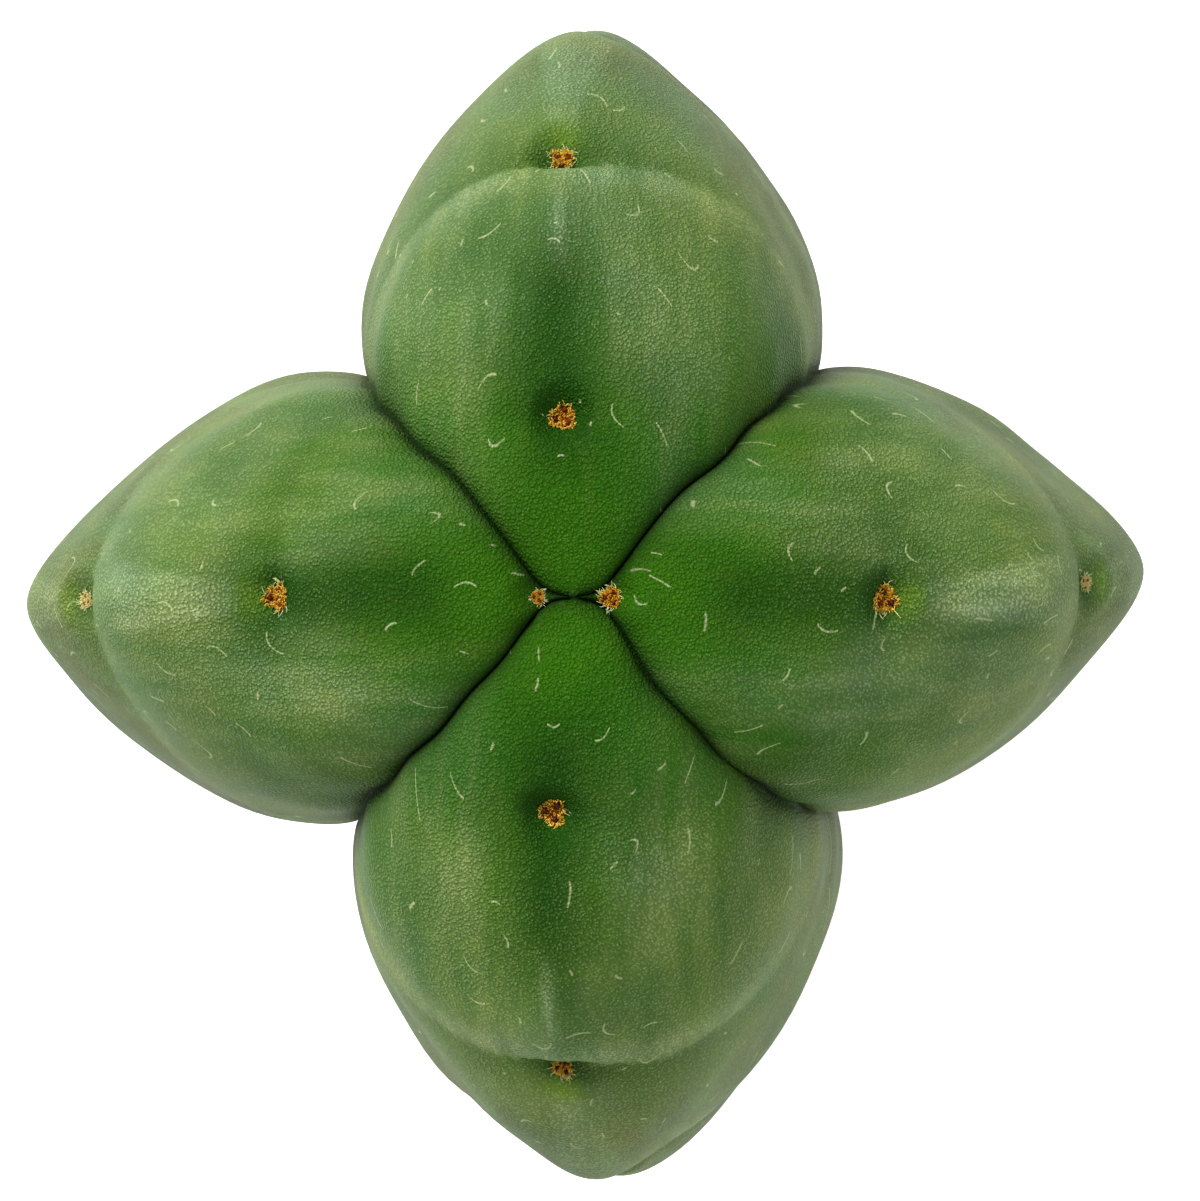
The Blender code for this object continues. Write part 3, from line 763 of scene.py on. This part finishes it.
def skin_marks(marks, points):
    """How ripe, old, corky, fresh, waxy, wedged and flanking the skin is, from 0 to 1, with painted shade
    darkening its furrow (partly its own deep green), pits, creases and the skin past each brow, and a
    painted highlight along each brow counted as wax.
    """
    down, off = marks["down"], np.abs(marks["off_ridge"])
    crease, phase = marks["to_crease"], marks["phase"]
    cloud = 0.5 + 0.5 * np.clip(dents(points * 1.7 + 0.3), -1, 1)
    ripe = (down - RIPENS_FROM) / RIPENS_OVER - 0.36 * bell(crease, 5.5 * MM) * bell(down, 50 * MM)
    ripe = ripe + 0.12 * (cloud - 0.5)
    old = rises(down, AGES_FROM, AGES_OVER)
    cork = rises(down - RIDGE_TO_SOIL, -CORK_HEIGHT, CORK_HEIGHT) * (0.35 + 0.65 * rises(cloud, 0.25, 0.5))

    # The first segment's furrow is dark and unwaxed, partly its own deep green and partly painted shade,
    # with waxy banks, and each pit is darkened with painted shade
    furrow_and_shade = rises(down, 6 * MM, 6 * MM) * falls(down, 30 * MM, 10 * MM) * bell(off, 3.0 * MM)
    banks = bell(down - 18 * MM, 9 * MM) * bell(off - 7 * MM, 3.5 * MM)
    pit_shade = bell(marks["to_pad"], 1.6 * MM) * rises(down, 8 * MM, 3 * MM)
    fresh = bell(np.hypot(marks["past_pad"] - 1.5 * MM, 0.8 * off), 1.1 * MM) * rises(down, 18 * MM, 3 * MM)

    # A wedge of wax runs out from each areole and widens to the next, or narrows after the first one.
    # Each brow is pale, partly with wax and partly with a painted highlight on its crest, and the skin past
    # it is darkened with painted shade
    start, end = marks["start"], marks["end"]
    reach = phase * (end - start)
    first = start < FIRST_SEGMENT
    clear = np.where(first, 8 * MM, 2.4 * MM)
    half = np.where(first, 1.5 * MM - 0.05 * reach, 1.0 * MM + 0.13 * reach)
    wedge = rises(reach, clear, np.where(first, 5 * MM, 1.0 * MM)) * falls(phase, 0.98, 0.4)
    wedge = wedge * falls(off, half, 0.9 * MM) * (start > FIRST_SEGMENT / 2)
    wedge = wedge * np.where(start > SECOND_SEGMENT, 0.5, 1.0)
    brow = bell(end - reach - start - 1.2 * MM, 2.0 * MM) * marks["cut"] * bell(off, 17 * MM)
    under = bell(reach - 0.5 * MM, 2.4 * MM) * marks["cut"] * bell(off - 5 * MM, 10 * MM)

    flank = rises(down, 12 * MM, 26 * MM) * rises(off, 5 * MM, 12 * MM)
    bloom_and_brow_highlight = 0.35 * banks + 0.9 * wedge + 1.1 * brow + 0.22 * cloud * rises(down, 12 * MM, 10 * MM)
    bloom_and_brow_highlight = bloom_and_brow_highlight * (1 - 0.9 * furrow_and_shade) * (1 - 0.8 * fresh) * (1 - 0.8 * under)
    # Painted shade: each crease is darkened along its line, and more widely near the tip
    dark = 0.75 * np.exp(-crease / (0.5 * MM)) + 0.3 * np.exp(-crease / (2.2 * MM)) * bell(down, 60 * MM)
    painted = {
        "growth": (ripe, old, cork),
        "shade": (0.85 * furrow_and_shade + 0.75 * pit_shade + 0.3 * under, dark, fresh),
        "wax_and_highlight": (bloom_and_brow_highlight, wedge, flank),
    }
    return {name: np.clip(np.stack(values, -1), 0, 1) for name, values in painted.items()}


def paint(piece, name, values):
    """Keeps a vector for each of a piece's points, under a name for its material to read."""
    attribute = piece.data.attributes.new(name, "FLOAT_VECTOR", "POINT")
    attribute.data.foreach_set("vector", values.astype(np.float32).ravel())


def make_stem(material):
    rows = rows_down()
    across = columns_across(STEM_COLUMNS_PER_RIB)
    rings, notes = [], []
    for down in rows:
        level = np.full_like(across, down)
        ribs = [stem_points(i, across, level) for i in range(len(RIBS))]
        rings.append(np.concatenate([points for points, _ in ribs]))
        notes.append({key: np.concatenate([marks[key] for _, marks in ribs]) for key in ribs[0][1]})
    tip = rings[0].mean(0) - (0, 0, 0.05 * MM)
    root = (0, 0, STEM_TOP - float(PROFILE_DEPTH[-1]))
    points, faces = skin_over(rings, tip, root)
    count = len(rings) * len(rings[0])
    marks = {key: np.concatenate([note[key] for note in notes]) for key in notes[0]}
    soft = dents(points[:count]) * DENT_DEPTH
    fade = rises(marks["to_crease"], 0, 5 * MM) * rises(marks["down"], 6 * MM, 10 * MM)
    outward = points[:count] * (1, 1, 0)
    outward = outward / np.maximum(np.linalg.norm(outward, axis=1, keepdims=True), MM)
    slope = np.clip(marks["down"] / CROWN_REACH, 0, 1)[:, None]
    outward = outward * slope + (0, 0, 1) * (1 - slope)
    points[:count] += outward * (soft * fade)[:, None]
    stem = add_piece("cactus_stem", points, faces, material, "stem")

    painted = skin_marks(marks, points[:count])
    rib_number = np.tile(np.repeat(np.arange(len(RIBS)), len(across)), len(rings))
    along = marks["down"] + rib_number * RIDGE_TO_ROOT
    painted["lie"] = np.stack([along, marks["off_ridge"], 0 * rib_number], -1)
    for name, values in painted.items():
        paint(stem, name, np.vstack([values, values[0], values[-1]]))
    return stem


def waxy_skin():
    """Living epidermis under plant wax: soft satin, with pebbles whose tops hold the pale wax."""
    material, tree, shader, place = blank_material("waxed_cactus_epidermis")
    _, ripe, old, cork = painted_vector(tree, "growth")
    _, furrow_and_shade, crease, fresh = painted_vector(tree, "shade")
    _, bloom_and_brow_highlight, wedge, flank = painted_vector(tree, "wax_and_highlight")
    lie, down, _, _ = painted_vector(tree, "lie")

    # Pebbles like leather's, drawn out of round by a slower noise
    warp = add(tree, "TexNoise", {"Vector": place, "Scale": 1 / WARP_SIZE, "Detail": 2.0})
    centred = add(tree, "VectorMath", {0: warp.outputs["Color"], 1: (0.5, 0.5, 0.5)}, operation="SUBTRACT")
    push = {0: centred.outputs[0], 1: (PEBBLE_WARP,) * 3, 2: place}
    pushed = add(tree, "VectorMath", push, operation="MULTIPLY_ADD")
    pebbles = add(tree, "TexVoronoi", {"Vector": pushed.outputs[0], "Scale": 1 / PEBBLE})
    pebble = ranged(tree, pebbles.outputs["Distance"], 0.1, 0.7, 1.0, 0.0)
    fine = noise(tree, place, FINE_GRAIN, 2.0, 0.6)
    patch = noise(tree, place, PATCH_SIZE, 4.0, 0.6)
    broad = noise(tree, place, BROAD_SIZE, 3.0, 0.5)
    combed = add(tree, "VectorMath", {0: lie, 1: STREAKS_PER_METRE}, operation="MULTIPLY").outputs[0]
    streak = noise(tree, combed, 1.0, 3.0, 0.55)

    # Green tissue under a thin even wax: vivid at the tip, then paler and greyer as it ripens
    ripened = maths(tree, "MULTIPLY_ADD", broad, 0.3, ripe)
    ripened = maths(tree, "SUBTRACT", ripened, 0.15)
    ripened = maths(tree, "ADD", ripened, ranged(tree, streak, 0.3, 0.7, -0.13, 0.13))
    tissue = add(tree, "ValToRGB", {"Fac": ripened})
    stops = tissue.color_ramp.elements
    stops[0].position, stops[0].color = TISSUE_RAMP[0][0], linear(TISSUE_RAMP[0][1])
    stops[1].position, stops[1].color = TISSUE_RAMP[-1][0], linear(TISSUE_RAMP[-1][1])
    for position, colour in TISSUE_RAMP[1:-1]:
        stops.new(position).color = linear(colour)
    aged = mixed(tree, old, tissue.outputs[0], SKIN_COLOURS["aged"])
    # Painted shade darkens the furrow, each pit and the skin past each brow to a deep green; in the furrow
    # it is partly the unwaxed tissue's own colour
    shade_darkened = mixed(tree, furrow_and_shade, aged, SKIN_COLOURS["furrow_and_shade"])
    haloed = mixed(tree, times(tree, fresh, 0.6), shade_darkened, SKIN_COLOURS["halo"])

    # Thicker wax, more olive on the flanks, most on the pebbles' tops and in streaks; the same pale mix
    # paints a highlight along each brow
    tops = ranged(tree, pebble, 0.1, 0.9, 0.55)
    patchy = ranged(tree, streak, 0.32, 0.68, 0.35, 1.15)
    wave = times(tree, down, 2 * math.pi / RIPPLE)
    wobbly = maths(tree, "MULTIPLY_ADD", patch, 14.0, wave)
    rippled = times(tree, maths(tree, "SINE", wobbly), wedge)
    lined = ranged(tree, rippled, -1.0, 1.0, 0.75, 1.15)
    thick = times(tree, times(tree, tops, patchy), lined)
    wax_and_highlight_cover = times(tree, thick, bloom_and_brow_highlight, clamped=True)
    wax_and_highlight_colour = mixed(tree, flank, SKIN_COLOURS["wax_and_highlight"], SKIN_COLOURS["flank wax"])
    with_wax_and_highlight = mixed(tree, wax_and_highlight_cover, haloed, wax_and_highlight_colour)
    # Painted shade between the pebbles and painted light on their tops
    pebble_shading = ranged(tree, pebble, 0.15, 0.95, 0.76, 1.2)
    pebble_shaded = mixed(tree, 1.0, with_wax_and_highlight, pebble_shading, "MULTIPLY")

    # Slow drifts of hue, to the yellow where the wax is thin and to the blue where it's thick
    sun = ranged(tree, noise(tree, place, SUN_SIZE, 3.0, 0.6), 0.36, 0.64)
    drift = ranged(tree, streak, 0.3, 0.7)
    hue = maths(tree, "MULTIPLY_ADD", drift, 0.3, times(tree, sun, 0.7))
    tinted = mixed(tree, 1.0, pebble_shaded, mixed(tree, hue, COOL_TINT, WARM_TINT), "MULTIPLY")
    blotched = mixed(tree, 1.0, tinted, ranged(tree, patch, 0.35, 0.65, 0.9, 1.08), "MULTIPLY")

    # Pores as pale points, most plain in the young skin
    pores = add(tree, "TexVoronoi", {"Vector": place, "Scale": 1 / PORE_SPACING})
    pore = ranged(tree, pores.outputs["Distance"], 0.3, 0.12, 0.0, 0.35)
    unripe = ranged(tree, ripe, 0.0, 1.0, 1.0, 0.1)
    pored = mixed(tree, times(tree, pore, unripe), blotched, SKIN_COLOURS["pore"])

    # The highest pebbles show as whitish flecks, where the wax is thick enough
    peak = ranged(tree, pebble, 0.55, 0.9, 0.0, 0.42)
    fleck = times(tree, peak, ranged(tree, fine, 0.44, 0.58))
    fleck = times(tree, fleck, ranged(tree, ripe, 0.15, 0.5))
    flecked = mixed(tree, fleck, pored, SKIN_COLOURS["fleck"])

    # Lint: short curled scraps of dry wool, each turned its own way in its own cell of skin
    cells = {"Vector": lie, "Scale": 1 / LINT_SPACING, "Randomness": 0.9}
    lint = add(tree, "TexVoronoi", cells, voronoi_dimensions="2D")
    local = add(tree, "VectorMath", {0: lie, 1: lint.outputs["Position"]}, operation="SUBTRACT")
    local = add(tree, "VectorMath", {0: local.outputs[0], "Scale": 1 / LINT_SPACING}, operation="SCALE")
    lots = add(tree, "SeparateColor", {"Color": lint.outputs["Color"]}).outputs
    angle = times(tree, lots[0], 2 * math.pi)
    turn = {"Vector": local.outputs[0], "Angle": angle}
    turned = add(tree, "VectorRotate", turn, rotation_type="Z_AXIS").outputs[0]
    along, aside, _ = add(tree, "SeparateXYZ", {"Vector": turned}).outputs
    curl = ranged(tree, lots[1], 0.0, 1.0, -LINT_CURL, LINT_CURL)
    bent = maths(tree, "MULTIPLY_ADD", times(tree, along, along), curl, aside)
    half_width = LINT_WIDTH / 2 / LINT_SPACING
    thread = ranged(tree, maths(tree, "ABSOLUTE", bent), 2 * half_width, 0.5 * half_width, 0.0, 0.6)
    length = ranged(tree, lots[2], 0.6, 1.0, 0.0, LINT_LENGTH / LINT_SPACING)
    within = maths(tree, "LESS_THAN", maths(tree, "ABSOLUTE", along), length)
    kept = ranged(tree, old, 0.0, 0.3, 1.0, 0.25)
    linted = times(tree, times(tree, thread, within), kept)
    threads = mixed(tree, linted, flecked, SKIN_COLOURS["lint"])

    # Cork at the foot, and painted shade along the line of each crease
    corky = ranged(tree, times(tree, cork, patch), 0.14, 0.5, 0.0, 0.9)
    barked = mixed(tree, corky, threads, SKIN_COLOURS["cork"])
    crease_shaded = mixed(tree, times(tree, crease, 0.95), barked, SKIN_COLOURS["crease"])

    # Relief in millimetres: pebbles, a finer grain, and ripples across each wedge of wax
    grain = times(tree, fine, 0.06)
    pebbled = maths(tree, "MULTIPLY_ADD", pebble, 0.12, grain)
    relief_mm = maths(tree, "MULTIPLY_ADD", rippled, 0.02, pebbled)
    dress(tree, shader, {"IOR": 1.45, "Specular IOR Level": 0.08}, crease_shaded, relief_mm)
    tree.links.new(ranged(tree, wax_and_highlight_cover, 0.0, 1.0, 0.48, 0.6), shader.inputs["Roughness"])
    return material


stem = make_stem(waxy_skin())

# ---------------------------------------------------------------- areoles
# Each areole is a cushion of tan felt in a small pit on the ridge, from which three blunt maroon spine
# stubs and a fringe of curled wool grow. Those at the growing tip are still small.

PAD_RADIUS = 0.8 * MM
PAD_HEIGHT = 0.12 * MM
PAD_SIDES = 20
PAD_DOME = ((1.0, -0.25), (1.04, 0.2), (0.86, 0.62), (0.6, 0.86), (0.3, 0.96))
PAD_SHARE = 0.85
PAD_ROOT = 0.4 * MM
WOOL_HAIRS = 260
WOOL_LENGTH = 0.45 * MM
FRINGE_HAIRS = 46
FRINGE_LENGTH = 0.95 * MM
HAIR_RADIUS = 0.06 * MM
HAIR_STEPS = 6
HAIR_SIDES = 4
SPINES = 3
SPINE_RADIUS = 0.21 * MM
SPINE_LENGTH = 0.66 * MM
SPINE_SIDES = 8
SPINE_ROOT = 0.3 * MM
SPINE_PROFILE = ((0, 1.1), (0.35, 1.0), (0.7, 0.9), (0.93, 0.65), (1.0, 0.2))
SPINE_BARE = 1.15
HAIR_CURL = 0.45
SMALL_TUFT = 0.78
SPINES_APART = 0.44 * MM
TIP_WOOL_SIZE = {"east": 0.76, "west": 0.5}
WOOL_SIZE = (25 * MM, 33 * MM, 40 * MM, 60 * MM), (1.0, 0.85, 0.6, 0.8)
TIP_REACH = 5 * MM
WORN_FROM = 35 * MM
WORN_OVER = 8 * MM
HELD_OVER_SKIN = 4 * MM
RIDGE_STEP = 1.2 * MM
TUFT_SIZE = 0.25 * MM
HORN_STREAK = 0.4 * MM
WOOL_COLOURS = {
    "root": "#7a3602", "tan": "#c98a08", "straw": "#fbdc5c", "pale": "#e0e2a2", "shaded": "#7a3204",
}
HORN_COLOURS = {"dark": "#1e0301", "light": "#5a1404"}


def skin_frame(rib_index, down):
    """A point on a ridge with the ways out of the skin, down the rib and along its side."""
    levels = np.array([down - RIDGE_STEP, down, down + RIDGE_STEP])
    above, here, below = (Vector(p) for p in stem_points(rib_index, np.zeros(3), levels)[0])
    bearing = float(swept(RIBS[rib_index], down))
    side = Vector((-math.sin(bearing), math.cos(bearing), 0))
    along = (below - above).normalized()
    return here, along.cross(side).normalized(), along, side


def toward(angle, first, second):
    """The direction at an angle from the first of two square directions towards the second."""
    return first * math.cos(angle) + second * math.sin(angle)


def tube(path, radii, sides):
    """Points and faces of a closed tube along a path, with a radius at each of its points."""
    rings = []
    for i, here in enumerate(path):
        way = (path[min(i + 1, len(path) - 1)] - path[max(i - 1, 0)]).normalized()
        first = way.orthogonal().normalized()
        second = way.cross(first)
        turn = [2 * math.pi * k / sides for k in range(sides)]
        rings.append(np.array([here + toward(angle, first, second) * radii[i] for angle in turn]))
    return skin_over(rings, path[0], path[-1])


class Cluster:
    """Gathers many small closed forms into one mesh, with a tone for each of their points."""

    def __init__(self):
        self.points, self.faces, self.tone, self.count = [], [], [], 0

    def take(self, form, tone):
        points, faces = form
        self.points.append(points)
        self.faces += [tuple(i + self.count for i in face) for face in faces]
        self.tone.append(np.broadcast_to(tone, (len(points), 3)))
        self.count += len(points)

    def piece(self, name, material, slot, node=None):
        piece = add_piece(name, np.concatenate(self.points), self.faces, material, node)
        paint(piece, "tone", np.concatenate(self.tone))
        return piece


def dropped(surface, over, out):
    """Where a point held over the skin lands on it."""
    return surface.ray_cast(over, -out)[0] or over - out * HELD_OVER_SKIN


def make_pad(surface, frame_here, size, rng):
    """The felt cushion. Its rim is sunk a little into the skin, and its top is lumpy."""
    here, out, along, side = frame_here
    rings = []
    for share, height in PAD_DOME:
        ring = []
        for k in range(PAD_SIDES):
            angle = 2 * math.pi * k / PAD_SIDES
            reach = PAD_SHARE * PAD_RADIUS * size * share * rng.uniform(0.88, 1.12)
            over = here + toward(angle, along, side) * reach + out * HELD_OVER_SKIN
            lump = height + rng.uniform(-0.12, 0.12)
            ring.append(dropped(surface, over, out) + out * PAD_HEIGHT * size * lump)
        rings.append(np.array(ring))
    return skin_over(rings, here - out * PAD_ROOT, here + out * PAD_HEIGHT * size)


def make_hair(surface, frame_here, size, turn, fringe, worn, rng):
    """One hair: of the felt, which leaves the spines bare, or of the pale curled fringe. Its tone runs from
    root to tip. Gives nothing where a spine stands."""
    here, out, along, side = frame_here
    angle = rng.uniform(0, 2 * math.pi)
    lobed = 1 + 0.16 * math.cos(3 * (angle - turn)) + 0.07 * math.sin(7 * angle + turn)
    share = rng.uniform(0.85, 1.05) if fringe else math.sqrt(rng.uniform(0, 1))
    outward = toward(angle, along, side)
    sideways = along * -math.sin(angle) + side * math.cos(angle)
    root = outward * PAD_RADIUS * size * share * lobed
    for k in range(SPINES):
        stands = toward(turn + 2 * math.pi * k / SPINES, along, side) * SPINES_APART * size
        if (root - stands).length < SPINE_BARE * SPINE_RADIUS * size:
            return None
    point = dropped(surface, here + root + out * HELD_OVER_SKIN, out)
    way = out * rng.uniform(0.5, 1.0) + outward * rng.uniform(0.1, 0.9) * share
    if fringe:
        way = out * rng.uniform(0.1, 0.5) + outward
    curl = sideways * rng.normal(0, 0.9 if fringe else 0.5) + out * rng.normal(-0.1, 0.25)
    length = size * rng.uniform(0.6, 1.15) * (FRINGE_LENGTH if fringe else WOOL_LENGTH)
    path = []
    for step in range(HAIR_STEPS):
        path.append(point.copy())
        way = (way + curl * HAIR_CURL).normalized()
        point = point + way * length / HAIR_STEPS
    thick = HAIR_RADIUS * (0.6 if fringe else 0.9) * math.sqrt(size)
    radii = [thick * (1 - 0.5 * (k / (HAIR_STEPS - 1)) ** 2) for k in range(HAIR_STEPS)]
    form = tube(path, radii, HAIR_SIDES)
    ring_tone = np.repeat(np.linspace(0, 1, HAIR_STEPS), HAIR_SIDES)
    along_hair = np.concatenate([ring_tone, [0], [1]])
    shade = rng.uniform() * (0.3 if size < SMALL_TUFT and not worn else 1.0)
    pale = 1.0 if fringe else 0.7 * worn
    tone = np.stack([np.full_like(along_hair, shade), along_hair, np.full_like(along_hair, pale)], -1)
    return form, tone


def make_spines(frame_here, size, turn, rng):
    """Blunt stubs in a triangle, their ends about level with the felt."""
    here, out, along, side = frame_here
    stubs = []
    widths = [width * SPINE_RADIUS * size for _, width in SPINE_PROFILE]
    for k in range(SPINES):
        lean = toward(turn + 2 * math.pi * k / SPINES, along, side)
        root = here + lean * SPINES_APART * size - out * SPINE_ROOT * size
        tip = root + (out + lean * 0.2).normalized() * SPINE_LENGTH * size * rng.uniform(0.85, 1.15)
        path = [root.lerp(tip, share) for share, _ in SPINE_PROFILE]
        stubs.append(tube(path, widths, SPINE_SIDES))
    return stubs


def plant_wool():
    """Areole wool, a felt of dry plant hairs: dark at the root, partly its own tawny brown and partly
    painted shade deep in the tuft, straw to cream at the tips, with patches of painted shade between the
    tufts, no gloss.
    """
    material, tree, shader, place = blank_material("dry_areole_wool")
    _, shade, along, pale = painted_vector(tree, "tone")
    base = mixed(tree, shade, WOOL_COLOURS["tan"], WOOL_COLOURS["straw"])
    # Each hair darkens towards its root, partly painted shade deep in the tuft
    felt = mixed(tree, ranged(tree, along, 0.1, 0.6), WOOL_COLOURS["root"], base)
    fringed = mixed(tree, pale, felt, WOOL_COLOURS["pale"])
    # Painted shade in patches between the tufts
    tuft_shade = ranged(tree, noise(tree, place, TUFT_SIZE, 3.0), 0.5, 0.35, 0.0, 0.5)
    tufted = mixed(tree, tuft_shade, fringed, WOOL_COLOURS["shaded"])
    dress(tree, shader, {"Roughness": 0.9, "Specular IOR Level": 0.1}, tufted)
    return material


def spine_horn():
    """Hardened spine tissue, like horn: dark maroon and slightly glossy."""
    material, tree, shader, place = blank_material("maroon_spine_horn")
    streak = noise(tree, place, HORN_STREAK, 3.0)
    colour = mixed(tree, streak, HORN_COLOURS["dark"], HORN_COLOURS["light"])
    dress(tree, shader, {"Roughness": 0.5, "IOR": 1.54, "Specular IOR Level": 0.25}, colour)
    return material


def make_areoles(wool, horn):
    surface = BVHTree.FromObject(stem, bpy.context.evaluated_depsgraph_get())
    for rib_index, rib in enumerate(RIBS):
        for number, down in enumerate(areole_places(rib), 1):
            rng = np.random.default_rng(100 * rib_index + number)
            size = TIP_WOOL_SIZE[rib["name"]] if down < TIP_REACH else float(np.interp(down, *WOOL_SIZE))
            worn = float(rises(down, WORN_FROM, WORN_OVER))
            turn = rng.uniform(0, 2 * math.pi)
            name = f"areole_{rib['name']}_{number:02d}"
            frame_here = skin_frame(rib_index, float(down))
            felt = Cluster()
            # The pad takes the hairs' root colour, dark partly with painted shade
            felt.take(make_pad(surface, frame_here, size, rng), (0.0, 0.0, 0.0))
            for k in range(WOOL_HAIRS + FRINGE_HAIRS):
                hair = make_hair(surface, frame_here, size, turn, k >= WOOL_HAIRS, worn, rng)
                if hair:
                    felt.take(*hair)
            felt.piece(name + "_wool", wool, "areole_felt", name)
            spines = Cluster()
            for stub in make_spines(frame_here, size, turn, rng):
                spines.take(stub, (0.0, 0.0, 0.0))
            spines.piece(name + "_spines", horn, "areole_felt")


bpy.context.view_layer.update()
make_areoles(plant_wool(), spine_horn())

# ---------------------------------------------------------------- studio
# A white table under a broad soft light from the back left, with white all round. The camera looks
# straight down on the growing tip from close above it, so the crown hides its pot.

CAMERA_ABOVE_TIP = 155 * MM
CAMERA_ASIDE = (1.77 * MM, -0.23 * MM)
CAMERA_LENS = 70
CAMERA_SENSOR = 36
TABLE_REACH = 6
TABLE_CLOUD = 1 / 6
TABLE_GLOW = 0.65
TABLE_COLOURS = "#f1f1f0", "#f6f6f5"
SKY_LOW, SKY_HIGH = 0.75, 0.12
stem_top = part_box("stem")[1].z


def white_table():
    """A matt white laminate, lit until it's near white, with a trace of its own unevenness."""
    material, tree, shader, place = blank_material("matt_white_laminate")
    uneven = noise(tree, place, TABLE_CLOUD)
    glow = {"Roughness": 0.8, "Emission Color": (1, 1, 1, 1), "Emission Strength": TABLE_GLOW}
    dress(tree, shader, glow, mixed(tree, uneven, *TABLE_COLOURS))
    return material


def add_light(name, place, target, size, power):
    light = bpy.data.lights.new(name, "AREA")
    light.shape, light.size, light.energy = "DISK", size, power
    lamp = placed(name, light)
    lamp.location = place
    lamp.rotation_euler = (Vector(target) - Vector(place)).to_track_quat("-Z", "Y").to_euler()


table_mesh = bpy.data.meshes.new("table")
corners = [(x * TABLE_REACH, y * TABLE_REACH, 0) for x, y in ((-1, -1), (1, -1), (1, 1), (-1, 1))]
table_mesh.from_pydata(corners, [], [(0, 1, 2, 3)])
table_mesh.materials.append(white_table())
table = placed("table", table_mesh)

world = bpy.data.worlds.new("white_studio")
world.use_nodes = True
sky = world.node_tree
background = sky.nodes["Background"]
up = add(sky, "SeparateXYZ", {"Vector": add(sky, "TexCoord", {}).outputs["Generated"]}).outputs["Z"]
sky.links.new(ranged(sky, up, 0.0, 0.8, SKY_LOW, SKY_HIGH), background.inputs["Strength"])
background.inputs["Color"].default_value = (1, 1, 1, 1)
bpy.context.scene.world = world

middle = (0, 0, 0.5 * stem_top)
add_light("window", (-0.74, 0.82, 1.15), (0, 0, stem_top), 0.6, 24)
add_light("reflector", (0.95, -0.3, 1.1), middle, 0.9, 5)
add_light("front_fill", (-0.3, -1.5, 0.7), middle, 1.0, 4)

camera = bpy.data.cameras.new("camera")
camera.lens, camera.sensor_width = CAMERA_LENS, CAMERA_SENSOR
camera.clip_start = 10 * MM
viewer = placed("camera", camera)
viewer.location = (*CAMERA_ASIDE, stem_top + CAMERA_ABOVE_TIP)
bpy.context.scene.camera = viewer
bpy.context.scene.view_settings.view_transform = "Standard"
